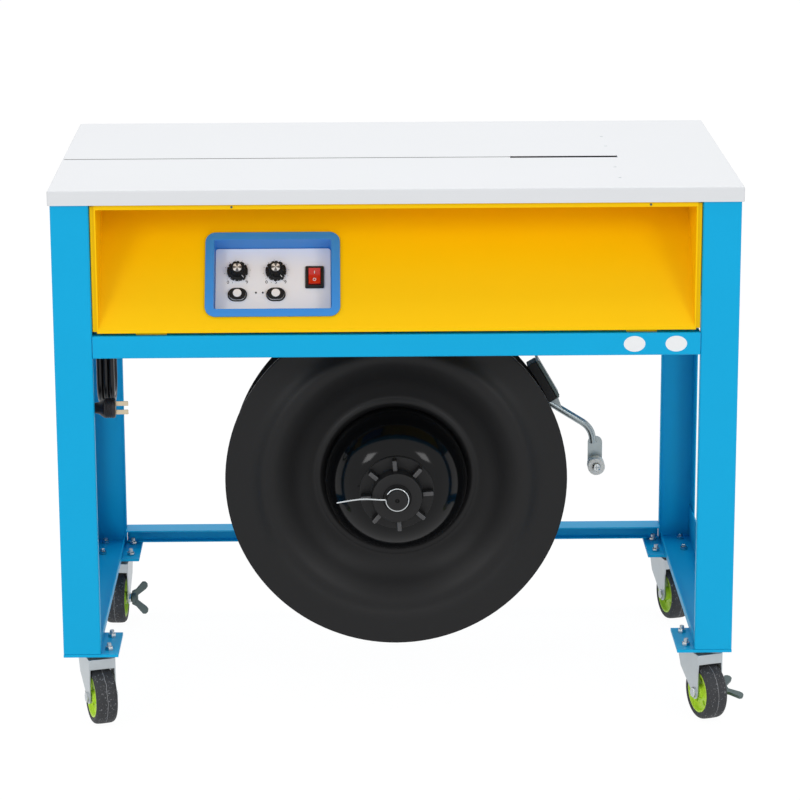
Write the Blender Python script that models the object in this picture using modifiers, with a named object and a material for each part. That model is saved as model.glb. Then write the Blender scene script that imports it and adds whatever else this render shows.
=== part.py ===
# Semi automatic strapping machine: sheet-metal stand on four swivel casters, flat table with a strap slot,
# sloping control panel, strap reel on a fixed shaft in front, and the drive under the table.
# Metres, +Z up, the operator stands at -Y. Origin: on the floor, under the middle of the machine.

import bpy
import bmesh
from math import radians, sin, cos, pi, atan2
from mathutils import Matrix, Vector

# overall
width = 0.900
depth = 0.540
height = 0.732
gap = 0.0003
sheet = 0.002

# table
table_skirt = 0.0196
slot_y = -0.034
slot_x0 = 0.158
slot_x1 = 0.303
slot_wide = 0.017
slit_wide = 0.0016
guide_screw_r = 0.0024

# stand
leg_inset = 0.003
leg_face = 0.050
leg_side = 0.045
leg_lip = 0.012
beam_bottom = 0.509
beam_high = 0.030
beam_deep = 0.026
rail_high = 0.025
rail_deep = 0.037
rail_foot = 0.012
side_rail_high = 0.050
side_rail_lip = 0.009
corner_plate = 0.004
corner_long = 0.095
bolt_dx = 0.0205
bolt_dy = 0.0280
cover_sheet = 0.0015
slot_high = 0.004

# casters
wheel_r = 0.0375
wheel_wide = 0.030
wheel_trail = 0.026
fork_wall = 0.0022
fork_clear = 0.0012
head_r = 0.018
axle_r = 0.004
top_plate_x = 0.054
top_plate_y = 0.072
top_plate = 0.0025
bolt_r = 0.0032
caster_yaw = {"fl": 18.0, "fr": 20.0, "bl": -3.0, "br": 15.0}
pedal_turn = {"bl": 0.0, "fr": -72.0}

# front panel
panel_bottom = 0.5425
panel_lip = 0.0065
panel_run = 0.123
panel_rise = 0.165 - sheet
panel_foot_x = 0.320

# controls, in the sloping panel's own frame: x right, y up the slope, z outwards
bezel_x = -0.162
bezel_y = 0.0782
bezel_wide = 0.177
bezel_tall = 0.1215
mouth_wide = 0.154
mouth_tall = 0.100
bezel_proud = 0.003
recess_deep = 0.025
bezel_wall = 0.002
plate_thick = 0.0015
knob_r = 0.0138
knob_high = 0.0150
knob_y = 0.0935
knob_xs = (-0.2090, -0.1583)
knob_turn = 38.0
button_y = 0.0600
button_wide = 0.0222
button_tall = 0.0156
button_travel = 0.0020
rocker_x = -0.1073
rocker_y = 0.0845
rocker_wide = 0.025
rocker_tall = 0.032

# reel: stations along the shaft are measured from the front rim's plane, towards the operator
reel_z = 0.3095
rim_y = -0.150
rim_gap = 0.090
front_r = 0.232
rear_r = 0.227
flange_sheet = 0.0025
shaft_r = 0.0135
shaft_front = 0.104
drum_r = 0.0915
nut_r = 0.050
hanger_plate = 0.006
hanger_front = -0.0183

# brake arm
arm_y = -0.035
arm_pivot = (0.110, 0.453)
arm_bend = (0.272, 0.352)
arm_foot = (0.275, 0.330)
arm_rod_r = 0.005
roller_r = 0.012
roller_wide = 0.018
roller_at = (0.279, 0.2995)
shoe_angle = 30.0
shoe_long = 0.060
shoe_thick = 0.012
shoe_wide = 0.028

# drive
tray_bottom = 0.547
tray_sheet = 0.0025
tray_front = -0.080
tray_back = 0.200
tray_flange = 0.030
motor_r = 0.052
motor_long = 0.150
belt_x = -0.120
press_x0 = 0.165
press_x1 = 0.295
press_thick = 0.0145
press_low = 0.602
press_travel = 0.008

# mains lead
cord_r = 0.00375
gland_at = (-0.372, 0.563)
hank_x = -0.386
hank_y = -0.1725
hank_low = 0.428
hank_high = 0.556
hank_deep = 0.0685
hank_thick = 0.0246
hank_wall = 0.0160
hook_r = 0.005
plug_at = (-0.372, -0.222, 0.432)
plug_long = 0.034
tail_bend = 0.030

# where the middle of the whole machine, its casters as parked, lies from the middle of the table
middle_x = 0.00853
middle_y = -0.00634

leg_x = width / 2 - leg_inset
leg_y = depth / 2 - leg_inset
under_table = height - sheet
corner_inner = leg_x - 0.073
caster_x = leg_x - 0.039
caster_y = leg_y - corner_long / 2
caster_high = 2 * wheel_r + 0.024
panel_half = leg_x - leg_face - 0.0065
panel_front = -(depth / 2 - 0.005)
press_high = height - 0.010
corner_top = caster_high + gap + corner_plate
slope = atan2(panel_run, panel_rise)

parts = None
cutters = None
paint = {}


def clear_scene():
    for item in list(bpy.data.objects):
        bpy.data.objects.remove(item)


def material(name, colour, rough, metal=0.0):
    mat = bpy.data.materials.new(name)
    mat.use_nodes = True
    shader = mat.node_tree.nodes["Principled BSDF"]
    shader.inputs["Base Color"].default_value = (*colour, 1.0)
    shader.inputs["Roughness"].default_value = rough
    shader.inputs["Metallic"].default_value = metal
    paint[name] = mat


def add(name, mesh, mat=None, group=None):
    obj = bpy.data.objects.new(name, mesh)
    (group or parts).objects.link(obj)
    if mat:
        mesh.materials.clear()
        mesh.materials.append(paint[mat])
    return obj


def box_mesh(name, low, high):
    bm = bmesh.new()
    bmesh.ops.create_cube(bm, size=1.0)
    size = [high[i] - low[i] for i in range(3)]
    middle = [(high[i] + low[i]) / 2 for i in range(3)]
    bmesh.ops.scale(bm, vec=size, verts=bm.verts)
    bmesh.ops.translate(bm, vec=middle, verts=bm.verts)
    mesh = bpy.data.meshes.new(name)
    bm.to_mesh(mesh)
    bm.free()
    return mesh


def box(name, low, high, mat):
    return add(name, box_mesh(name, low, high), mat)


def rod_mesh(name, radius, start, end, segments=16, radius_end=None):
    bm = bmesh.new()
    run = Vector(end) - Vector(start)
    turn = Vector((0, 0, 1)).rotation_difference(run.normalized()).to_matrix().to_4x4()
    place = Matrix.Translation((Vector(start) + Vector(end)) / 2) @ turn
    bmesh.ops.create_cone(bm, cap_ends=True, segments=segments, radius1=radius,
                          radius2=radius if radius_end is None else radius_end, depth=run.length, matrix=place)
    mesh = bpy.data.meshes.new(name)
    bm.to_mesh(mesh)
    bm.free()
    return mesh


plane_turn = {
    "xy": Matrix.Identity(4),
    "xz": Matrix(((1, 0, 0, 0), (0, 0, -1, 0), (0, 1, 0, 0), (0, 0, 0, 1))),
    "yz": Matrix(((0, 0, 1, 0), (1, 0, 0, 0), (0, 1, 0, 0), (0, 0, 0, 1))),
}


def outline_mesh(name, loops, thick, plane="xy", offset=(0, 0, 0)):
    # a flat filled outline, thickened both ways, then laid in its plane
    curve = bpy.data.curves.new(name, "CURVE")
    curve.dimensions = "2D"
    curve.fill_mode = "BOTH"
    curve.extrude = thick / 2
    for loop in loops:
        spline = curve.splines.new("POLY")
        spline.points.add(len(loop) - 1)
        for point, (u, v) in zip(spline.points, loop):
            point.co = (u, v, 0, 1)
        spline.use_cyclic_u = True
    holder = bpy.data.objects.new(name + "_curve", curve)
    cutters.objects.link(holder)
    holder.matrix_world = Matrix.Translation(offset) @ plane_turn[plane]
    bpy.context.view_layer.update()
    graph = bpy.context.evaluated_depsgraph_get()
    mesh = bpy.data.meshes.new_from_object(holder.evaluated_get(graph))
    place = holder.matrix_world.copy()
    bpy.data.objects.remove(holder)
    bm = bmesh.new()
    bm.from_mesh(mesh)
    bmesh.ops.remove_doubles(bm, verts=bm.verts, dist=0.000001)
    bmesh.ops.transform(bm, matrix=place, verts=bm.verts)
    bmesh.ops.recalc_face_normals(bm, faces=bm.faces)
    bm.to_mesh(mesh)
    bm.free()
    mesh.name = name
    return mesh


def outline(name, loops, thick, plane, offset, mat):
    return add(name, outline_mesh(name, loops, thick, plane, offset), mat)


def turned(name, profile, mat, segments=32, group=None):
    # profile: (radius, height) pairs round the section, about local Z
    area = 0
    for (r0, h0), (r1, h1) in zip(profile, profile[1:] + profile[:1]):
        area += r0 * h1 - r1 * h0
    if area > 0:
        profile = profile[::-1]
    start = 0
    closed = min(r for r, h in profile) > 0
    if not closed:
        axis = [i for i, (r, h) in enumerate(profile) if r == 0]
        start = max(axis, key=lambda i: profile[i][1])
        profile = profile[start:] + profile[:start]
    mesh = bpy.data.meshes.new(name)
    edges = [(i, i + 1) for i in range(len(profile) - 1)]
    if closed:
        edges.append((len(profile) - 1, 0))
    mesh.from_pydata([(r, 0, h) for r, h in profile], edges, [])
    obj = add(name, mesh, mat, group)
    screw = obj.modifiers.new("turn", "SCREW")
    screw.axis = "Z"
    screw.steps = segments
    screw.render_steps = segments
    screw.use_merge_vertices = True
    screw.merge_threshold = 0.00001
    screw.use_smooth_shade = False
    return obj


def tube(name, points, radius, mat, resolution=2):
    curve = bpy.data.curves.new(name, "CURVE")
    curve.dimensions = "3D"
    curve.bevel_depth = radius
    curve.bevel_resolution = resolution
    curve.use_fill_caps = True
    spline = curve.splines.new("POLY")
    spline.points.add(len(points) - 1)
    for point, co in zip(spline.points, points):
        point.co = (*co, 1)
    return add(name, curve, mat)


def as_mesh(obj):
    # a curve becomes a welded mesh, so that it can be cut or joined
    bpy.context.view_layer.update()
    graph = bpy.context.evaluated_depsgraph_get()
    mesh = bpy.data.meshes.new_from_object(obj.evaluated_get(graph))
    name = obj.name
    place = obj.matrix_world.copy()
    bpy.data.objects.remove(obj)
    bm = bmesh.new()
    bm.from_mesh(mesh)
    bmesh.ops.remove_doubles(bm, verts=bm.verts, dist=0.000001)
    bmesh.ops.recalc_face_normals(bm, faces=bm.faces)
    bm.to_mesh(mesh)
    bm.free()
    welded = bpy.data.objects.new(name, mesh)
    parts.objects.link(welded)
    welded.matrix_world = place
    return welded


def combine(obj, mesh, operation="DIFFERENCE"):
    # mesh is in the same frame as obj's mesh
    tool = add(obj.name + "_" + mesh.name, mesh, None, cutters)
    attach_tool(obj, tool, operation)
    return tool


def attach_tool(obj, tool, operation):
    tool.parent = obj
    tool.hide_render = True
    tool.display_type = "WIRE"
    joint = obj.modifiers.new(tool.name, "BOOLEAN")
    joint.operation = operation
    joint.solver = "EXACT"
    joint.object = tool


def pivot(obj, point):
    # put the object's origin on its joint, with the shape where it was
    obj.data.transform(Matrix.Translation(-Vector(point)))
    obj.location = point
    for child in obj.children:
        child.data.transform(Matrix.Translation(-Vector(point)))
    return obj


def empty(name, location, rotation=(0, 0, 0)):
    holder = bpy.data.objects.new(name, None)
    holder.empty_display_size = 0.05
    parts.objects.link(holder)
    holder.location = location
    holder.rotation_euler = rotation
    return holder


def rounded(wide, tall, radius, steps=4, centre=(0, 0)):
    points = []
    corners = ((1, 1, 0), (-1, 1, 90), (-1, -1, 180), (1, -1, 270))
    for sx, sy, start in corners:
        for i in range(steps + 1):
            a = radians(start + 90 * i / steps)
            u = centre[0] + sx * (wide / 2 - radius) + radius * cos(a)
            v = centre[1] + sy * (tall / 2 - radius) + radius * sin(a)
            points.append((u, v))
    return points


def rectangle(x0, y0, x1, y1):
    return [(x0, y0), (x1, y0), (x1, y1), (x0, y1)]


def circle(radius, centre=(0, 0), count=16, start=0.0):
    turn = [2 * pi * i / count + start for i in range(count)]
    return [(centre[0] + radius * cos(a), centre[1] + radius * sin(a)) for a in turn]


def channel(y0, z0, y1, z1, wall, forward):
    # a U section in the YZ plane, its web at y0, open towards y1
    t = wall * forward
    return [(y0, z0), (y1, z0), (y1, z0 + wall), (y0 + t, z0 + wall),
            (y0 + t, z1 - wall), (y1, z1 - wall), (y1, z1), (y0, z1)]


def make_legs():
    low = corner_top + gap
    high = under_table - gap
    for tag, sx, sy in (("fl", -1, -1), ("fr", 1, -1), ("bl", -1, 1), ("br", 1, 1)):
        section = [(leg_x, leg_y), (leg_x, leg_y - leg_side), (leg_x - sheet, leg_y - leg_side),
                   (leg_x - sheet, leg_y - sheet), (leg_x - leg_face + sheet, leg_y - sheet),
                   (leg_x - leg_face + sheet, leg_y - leg_lip), (leg_x - leg_face, leg_y - leg_lip),
                   (leg_x - leg_face, leg_y)]
        section = [(sx * x, sy * y) for x, y in section]
        outline("leg_" + tag, [section], high - low, "xy", (0, 0, (low + high) / 2), "frame_blue")


def make_beams():
    span = 2 * (leg_x - leg_face - gap)
    section = channel(-leg_y, beam_bottom, -leg_y + beam_deep, beam_bottom + beam_high, sheet, 1)
    outline("front_beam", [section], span, "yz", (0, 0, 0), "frame_blue")
    low = corner_top + gap
    section = channel(leg_y, low, leg_y - rail_deep, low + rail_high, sheet, -1)
    # the lower flange is short, to clear the caster bolts
    section[1] = (leg_y - rail_foot, low)
    section[2] = (leg_y - rail_foot, low + sheet)
    outline("rear_rail", [section], span, "yz", (0, 0, 0), "frame_blue")


def make_side_rails():
    inner = leg_x - leg_face + sheet + gap
    outer = leg_x - sheet - gap
    low = corner_top
    long = 2 * (leg_y - sheet - gap)
    for tag, side in (("l", -1), ("r", 1)):
        base = low - corner_plate
        section = [(inner, low - 0.001), (outer, low - 0.001), (outer, low + side_rail_high),
                   (outer - sheet, low + side_rail_high), (outer - sheet, low + sheet),
                   (inner + sheet, low + sheet), (inner + sheet, low + side_rail_lip),
                   (inner, low + side_rail_lip)]
        section = [(side * x, z) for x, z in section]
        rail = outline("side_rail_" + tag, [section], long, "xz", (0, 0, 0), "frame_blue")
        for end in (-1, 1):
            x = sorted((side * corner_inner, side * leg_x))
            y = sorted((end * leg_y, end * (leg_y - corner_long)))
            plate = box_mesh("corner", (x[0], y[0], base), (x[1], y[1], low))
            combine(rail, plate, "UNION")
            for dx in (-1, 1):
                for dy in (-1, 1):
                    bx = side * caster_x + dx * bolt_dx
                    by = end * caster_y + dy * bolt_dy
                    hole = rod_mesh("hole", bolt_r + gap, (bx, by, base - 0.01), (bx, by, low + 0.006), 8)
                    combine(rail, hole)


def add_cord_hook(cover, wall_x):
    # a rod through the hank's eye, with a head that keeps the hank on it
    z = hank_high - hank_wall - 2 * gap - hook_r
    end = hank_x + hank_thick / 2 + 2 * gap
    rod = rod_mesh("hook", hook_r, (wall_x, hank_y, z), (end, hank_y, z), 16)
    head = rod_mesh("head", hook_r * 1.7, (end - gap, hank_y, z), (end + 0.0025, hank_y, z), 16)
    combine(cover, rod, "UNION")
    combine(cover, head, "UNION")


def make_covers():
    inset = leg_x - sheet - gap - cover_sheet / 2
    half = leg_y - leg_side + 0.010
    high = under_table - gap
    slots = []
    for row in range(5):
        z = 0.585 + row * 0.020
        for y in (-0.110, 0.110):
            slots.append(rectangle(y - 0.050, z, y + 0.050, z + slot_high))
    for tag, side in (("l", -1), ("r", 1)):
        outer = rectangle(-half, beam_bottom, half, high)
        cover = outline("side_cover_" + tag, [outer] + slots, cover_sheet, "yz", (side * inset, 0, 0), "frame_blue")
        if side < 0:
            add_cord_hook(cover, -inset)
    span = 2 * (leg_x - leg_face - gap)
    y0 = leg_y - 0.001
    section = [(y0, beam_bottom), (y0, high), (y0 - cover_sheet, high), (y0 - cover_sheet, beam_bottom + cover_sheet),
               (y0 - 0.025, beam_bottom + cover_sheet), (y0 - 0.025, beam_bottom)]
    cover = outline("rear_cover", [section], span, "yz", (0, 0, 0), "frame_blue")
    slots = []
    for row in range(4):
        z = 0.590 + row * 0.020
        for x in (-0.200, 0.200):
            slots.append(rectangle(x - 0.070, z, x + 0.070, z + slot_high))
    combine(cover, outline_mesh("louvres", slots, 0.010, "xz", (0, y0, 0)))


def make_table():
    table = box("table", (-width / 2, -depth / 2, height - table_skirt), (width / 2, depth / 2, height), "table_white")
    inside = box_mesh("inside", (-width / 2 + sheet, -depth / 2 + sheet, height - table_skirt - 0.01),
                      (width / 2 - sheet, depth / 2 - sheet, under_table))
    combine(table, inside)
    slot = box_mesh("slot", (slot_x0, slot_y - slot_wide / 2, height - 0.01),
                    (slot_x1, slot_y + slot_wide / 2, height + 0.01))
    combine(table, slot)
    slit = box_mesh("slit", (-width / 2 - 0.01, slot_y - slit_wide / 2, height - 0.03),
                    (slot_x0 + 0.001, slot_y + slit_wide / 2, height + 0.01))
    combine(table, slit)
    for dy in (-0.163, -0.083, 0.083, 0.163):
        hole = rod_mesh("hole", guide_screw_r, (slot_x1 - 0.009, slot_y + dy, height - 0.01),
                        (slot_x1 - 0.009, slot_y + dy, height + 0.01), 8)
        combine(table, hole)


def slope_frame():
    # origin at the foot of the slope, y up the slope, z out of it
    return empty("panel_frame", (0, panel_front, panel_bottom + 0.0045), (pi / 2 - slope, 0, 0))


def make_front_panel():
    top = height - table_skirt - gap
    foot = panel_bottom + 0.0045
    back = panel_front + panel_run
    t = sheet / cos(slope)
    outer = [(panel_front, panel_bottom), (panel_front, top), (back + t, top),
             (back + t, foot + panel_rise - 0.010), (panel_front + t, panel_bottom)]
    panel = outline("front_panel", [outer], 2 * panel_half, "yz", (0, 0, 0), "panel_yellow")
    lip = top - panel_lip
    inner = [(panel_front - 0.01, foot), (panel_front, foot), (back, foot + panel_rise), (back, top - sheet),
             (panel_front + sheet, top - sheet), (panel_front + sheet, lip), (panel_front - 0.01, lip)]
    combine(panel, outline_mesh("recess", [inner], 2 * (panel_half - sheet), "yz"))
    # two feet stand the panel on the beam, behind its front lip
    for x in (-panel_foot_x, panel_foot_x):
        foot_block = box_mesh("foot", (x - 0.020, panel_front + 0.006, beam_bottom + beam_high + gap),
                              (x + 0.020, panel_front + 0.010, panel_bottom + 0.012))
        combine(panel, foot_block, "UNION")
    hole = outline_mesh("opening", [rounded(mouth_wide + 0.008, mouth_tall + 0.008, 0.008, 2, (bezel_x, bezel_y))], 0.030)
    hole.transform(slope_frame_matrix())
    combine(panel, hole)


def slope_frame_matrix():
    return Matrix.Translation((0, panel_front, panel_bottom + 0.0045)) @ Matrix.Rotation(pi / 2 - slope, 4, "X")


def make_controls():
    frame = slope_frame()
    centre = (bezel_x, bezel_y)
    # bezel: a flanged tray, its flange on the panel's face and its floor behind it
    bezel = outline("control_bezel", [rounded(bezel_wide, bezel_tall, 0.014, 4, centre)], bezel_proud, "xy",
                    (0, 0, gap + bezel_proud / 2), "bezel_blue")
    body = outline_mesh("body", [rounded(mouth_wide + 0.006, mouth_tall + 0.006, 0.007, 2, centre)],
                        recess_deep + bezel_wall + 0.001)
    body.transform(Matrix.Translation((0, 0, gap + 0.001 - (recess_deep + bezel_wall + 0.001) / 2)))
    combine(bezel, body, "UNION")
    mouth = outline_mesh("mouth", [rounded(mouth_wide, mouth_tall, 0.006, 2, centre)], recess_deep + 0.010)
    mouth.transform(Matrix.Translation((0, 0, gap + 0.010 - (recess_deep + 0.010) / 2)))
    combine(bezel, mouth)
    floor = gap - recess_deep
    face = floor + gap + plate_thick
    plate = outline("control_plate", [rounded(mouth_wide - 2 * gap, mouth_tall - 2 * gap, 0.006, 2, centre)],
                    plate_thick, "xy", (0, 0, face - plate_thick / 2), "plate_white")
    items = [bezel, plate]
    for number, x in enumerate(knob_xs, 1):
        base = face + gap
        profile = [(0, base), (knob_r, base), (knob_r, base + 0.003), (knob_r * 0.86, base + 0.0045),
                   (knob_r * 0.78, base + knob_high * 0.8), (knob_r * 0.60, base + knob_high), (0, base + knob_high)]
        profile = [(r, h - base) for r, h in profile]
        knob = turned("knob_%d" % number, profile, "knob_black", 24)
        knob.location = (x, knob_y, base)
        pointer = box_mesh("pointer", (-0.0016, -knob_r * 1.12, 0), (0.0016, -knob_r * 0.5, 0.0030))
        pointer.transform(Matrix.Rotation(radians(knob_turn), 4, "Z"))
        combine(knob, pointer, "UNION")
        items.append(knob)
        ring = rounded(button_wide, button_tall, button_tall / 2 - 0.0001, 4)
        button = outline("button_%d" % number, [ring], button_travel + 0.002, "xy",
                         (0, 0, (button_travel + 0.002) / 2), "button_white")
        button.location = (x, button_y, face + gap + button_travel + 0.0005)
        items.append(button)
    # buttons stand in shallow collars on the plate
    for x in knob_xs:
        collar = outline_mesh("collar", [rounded(button_wide + 0.003, button_tall + 0.003, button_tall / 2, 4),
                                         rounded(button_wide + 0.0008, button_tall + 0.0008, button_tall / 2, 4)],
                              0.0030)
        collar.transform(Matrix.Translation((x, button_y, face + 0.0030 / 2 - 0.0001)))
        combine(plate, collar, "UNION")
        stem = rod_mesh("stem", 0.003, (x, button_y, face - 0.0001), (x, button_y, face + 0.0005), 8)
        combine(plate, stem, "UNION")
    outer = rounded(rocker_wide, rocker_tall, 0.002, 2)
    inner = rounded(rocker_wide - 0.008, rocker_tall - 0.008, 0.001, 1)
    case = outline("switch_frame", [outer, inner], 0.004, "xy", (0, 0, 0.002), "switch_black")
    case.location = (rocker_x, rocker_y, face + gap)
    half = rocker_tall / 2 - 0.004 - 0.0006
    arc = [(-half, 0.0016), (half, 0.0016), (half, 0.0058), (half * 0.5, 0.0046), (0, 0.0042),
           (-half * 0.5, 0.0046), (-half, 0.0058)]
    paddle = outline("switch_rocker", [arc], rocker_wide - 0.008 - 0.0012, "yz", (0, 0, 0), "switch_red")
    pivot(paddle, (0, 0, 0.0030))
    paddle.location = (rocker_x, rocker_y, face + gap + 0.0030)
    items += [case, paddle]
    for item in items:
        item.parent = frame


def flange_profile(rim, sign, station, inner):
    # the pressed dish of a reel flange: rolled rim, flat ring, ridge, slope back to the middle
    face = [(rim, 0.0), (rim * 0.88, 0.0), (rim * 0.77, 0.012), (rim * 0.73, 0.012), (rim * 0.49, -0.020), inner]
    outer = [(r, station + sign * h) for r, h in face]
    under = [(r, station + sign * (h - flange_sheet)) for r, h in face]
    bead = [(rim, station - sign * 0.0050)]
    return outer, under, bead


def make_reel():
    holder = empty("reel_axis", (0, rim_y, reel_z), (pi / 2, 0, 0))
    bore = shaft_r + gap
    # front flange with the bell in its middle
    bell = [(0.0975, -0.022), (0.0960, 0.004), (0.0870, 0.031), (0.0740, 0.048), (0.0620, 0.0565), (0.0300, 0.0565)]
    outer, under, bead = flange_profile(front_r, 1, 0.0, (0.107, -0.019))
    inside = [(r - flange_sheet, h) for r, h in bell[:2]]
    inside += [(r - flange_sheet * 0.9, h - flange_sheet * 0.5) for r, h in bell[2:4]]
    inside += [(r - flange_sheet * 0.4, h - flange_sheet) for r, h in bell[4:5]] + [(bell[5][0], bell[5][1] - flange_sheet)]
    section = outer + bell + inside[::-1]
    section += [(bell[0][0] - flange_sheet, bell[0][1] - flange_sheet)] + under[::-1][:-1] + bead[::-1]
    front = turned("flange_front", section, "reel_black", 40)
    outer, under, bead = flange_profile(rear_r, -1, -rim_gap, (bore, -0.020))
    section = outer + under[::-1][:-1] + bead[::-1]
    rear = turned("flange_rear", section, "reel_black", 40)
    # drum on a hub tube, between the flanges
    back = -rim_gap + 0.020 + flange_sheet + gap
    fore = -0.020 - flange_sheet - 0.004
    nose = 0.0565 + 0.016
    hub_r = 0.0297
    drum = [(bore, back), (drum_r, back), (drum_r, fore), (drum_r - 0.003, fore), (drum_r - 0.003, back + 0.003),
            (hub_r, back + 0.003), (hub_r, nose), (bore, nose)]
    core = turned("reel_core", drum, "reel_black", 32)
    # ribbed hub nut that clamps the front flange
    seat = 0.0565 + gap
    body = [(hub_r + gap, seat), (nut_r, seat), (nut_r, seat + 0.012), (0.034, seat + 0.014), (0.034, seat + 0.030),
            (0.030, seat + 0.033), (bore, seat + 0.033), (bore, nose + gap), (hub_r + gap, nose + gap)]
    nut = turned("hub_nut", body, "nut_black", 24)
    star = []
    for i in range(8):
        for r, da in ((0.0335, -0.12), (nut_r - 0.001, -0.085), (nut_r - 0.001, 0.085), (0.0335, 0.12)):
            a = 2 * pi * i / 8 + da
            star.append((r * cos(a), r * sin(a)))
    ribs = outline_mesh("ribs", [star, circle(hub_r + 0.002, (0, 0), 16)], 0.016)
    ribs.transform(Matrix.Translation((0, 0, seat + 0.017)))
    combine(nut, ribs, "UNION")
    shaft_back = -(hanger_front - rim_y) - hanger_plate
    shaft = turned("reel_shaft", [(0, shaft_back), (shaft_r, shaft_back), (shaft_r, shaft_front - 0.0015),
                                  (shaft_r - 0.0015, shaft_front), (0, shaft_front)], "zinc", 24)
    for item in (front, rear, core, nut, shaft):
        item.parent = holder
    # wire clip that keeps the reel on the shaft, with a bent tail
    wire = 0.0014
    ring = shaft_r + gap + wire
    y = rim_y - shaft_front + 0.006
    points = []
    for i in range(17):
        a = radians(150 - 330 * i / 16)
        points.append((ring * cos(a), y, reel_z + ring * sin(a)))
    last = points[-1]
    points.append((last[0] - 0.006, y, last[2] + 0.0004))
    points.append((last[0] - 0.030, y, last[2] + 0.0017))
    points.append((last[0] - 0.046, y, last[2]))
    points.append((last[0] - 0.066, y, last[2] - 0.0033))
    tube("wire_clip", points, wire, "steel", 2)


def make_hanger():
    back = hanger_front + hanger_plate
    low = reel_z
    top = tray_bottom - gap
    shape = [(-0.090, top), (-0.090, top - 0.05), (-0.045, low - 0.005)]
    for i in range(7):
        a = radians(180 + 30 * i)
        shape.append((0.042 * cos(a), low - 0.01 + 0.042 * sin(a)))
    px, pz = arm_pivot
    shape += [(0.060, low + 0.05), (px + 0.016, pz - 0.020), (px + 0.020, top)]
    plate = outline("reel_hanger", [shape], hanger_plate, "xz", (0, (hanger_front + back) / 2, 0), "frame_blue")
    combine(plate, box_mesh("foot", (-0.090, hanger_front, top - 0.005), (px + 0.020, 0.030, top)), "UNION")
    boss_end = rim_y + rim_gap - 0.020 + gap
    boss = rod_mesh("boss", 0.024, (0, boss_end, reel_z), (0, back - 0.001, reel_z), 24)
    combine(plate, boss, "UNION")
    combine(plate, rod_mesh("bore", shaft_r + gap, (0, boss_end - 0.01, reel_z), (0, back + 0.01, reel_z), 24))
    pin = rod_mesh("pin", 0.005, (px, hanger_front + 0.001, pz), (px, arm_y - 0.0085, pz), 12)
    combine(plate, pin, "UNION")


def make_brake_arm():
    px, pz = arm_pivot
    path = [(px + 0.006, arm_y, pz - 0.0037)]
    bend = Vector((arm_bend[0], arm_bend[1]))
    a = Vector((px, pz))
    c = Vector((arm_foot[0], arm_foot[1]))
    before = bend + (a - bend).normalized() * 0.016
    after = bend + (c - bend).normalized() * 0.014
    for i in range(6):
        t = i / 5
        spot = before * (1 - t) ** 2 + bend * 2 * t * (1 - t) + after * t * t
        path.append((spot.x, arm_y, spot.y))
    path.append((c.x, arm_y, c.y))
    arm = as_mesh(tube("brake_arm", path, arm_rod_r, "zinc", 2))
    arm.data.materials.append(paint["zinc"])
    eye = outline_mesh("eye", [circle(0.011, (px, pz), 20)], 0.014, "xz", (0, arm_y, 0))
    combine(arm, eye, "UNION")
    # foot plate that carries the strap roller on its pin
    rx, rz = roller_at
    foot = outline_mesh("foot", [rounded(0.020, 0.050, 0.008, 3, (rx - 0.001, rz + 0.014))], 0.004, "xz",
                        (0, arm_y + 0.003, 0))
    combine(arm, foot, "UNION")
    front = arm_y + 0.001 - gap - roller_wide - gap
    combine(arm, rod_mesh("pin", 0.003, (rx, arm_y + 0.002, rz), (rx, front - 0.001, rz), 12), "UNION")
    combine(arm, rod_mesh("head", 0.0055, (rx, front, rz), (rx, front - 0.003, rz), 12), "UNION")
    # backing plate of the shoe, on a web from the rod
    a = radians(shoe_angle)
    out = Vector((cos(a), sin(a)))
    along = Vector((-sin(a), cos(a)))
    middle = Vector((0, reel_z)) + out * (rear_r + 2 * gap + shoe_thick + gap)

    def spot(u, w):
        p = middle + along * u + out * w
        return (p.x, p.y)

    back = [spot(-shoe_long / 2, 0), spot(shoe_long / 2, 0), spot(shoe_long / 2, 0.0035), spot(-shoe_long / 2, 0.0035)]
    plate_front = rim_y + rim_gap - shoe_wide / 2
    plate_back = arm_y - 0.001
    plate = outline_mesh("shoe_plate", [back], plate_back - plate_front, "xz", (0, (plate_front + plate_back) / 2, 0))
    combine(arm, plate, "UNION")
    rod_dir = (bend - Vector(arm_pivot)).normalized()
    foot_mid = Vector(arm_pivot) + rod_dir * 0.125
    web = [spot(-0.014, 0.003), spot(0.014, 0.003), (foot_mid.x - rod_dir.x * 0.020, foot_mid.y - rod_dir.y * 0.020),
           (foot_mid.x + rod_dir.x * 0.020, foot_mid.y + rod_dir.y * 0.020)]
    combine(arm, outline_mesh("web", [web], 0.003, "xz", (0, plate_back - 0.0016, 0)), "UNION")
    combine(arm, rod_mesh("eye_bore", 0.005 + gap, (px, arm_y - 0.02, pz), (px, arm_y + 0.02, pz), 12))
    pivot(arm, (px, arm_y, pz))
    # friction pad, hollowed to the rear rim
    pad = []
    for i in range(7):
        t = a + (i - 3) / 3 * shoe_long / 2 / rear_r
        pad.append(((rear_r + 2 * gap) * cos(t), reel_z + (rear_r + 2 * gap) * sin(t)))
    pad_top = [spot(shoe_long / 2, -gap), spot(-shoe_long / 2, -gap)]
    shoe = outline("brake_shoe", [pad + pad_top], shoe_wide, "xz", (0, rim_y + rim_gap, 0), "rubber")
    pivot(shoe, (px, arm_y, pz))
    roller = turned("strap_roller", [(0.003 + gap, 0), (roller_r, 0), (roller_r, 0.004), (roller_r * 0.86, 0.006),
                                     (roller_r * 0.86, roller_wide - 0.006), (roller_r, roller_wide - 0.004),
                                     (roller_r, roller_wide), (0.003 + gap, roller_wide)], "nylon", 24)
    roller.location = (rx, arm_y + 0.001 - gap, rz)
    roller.rotation_euler = (pi / 2, 0, 0)


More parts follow.
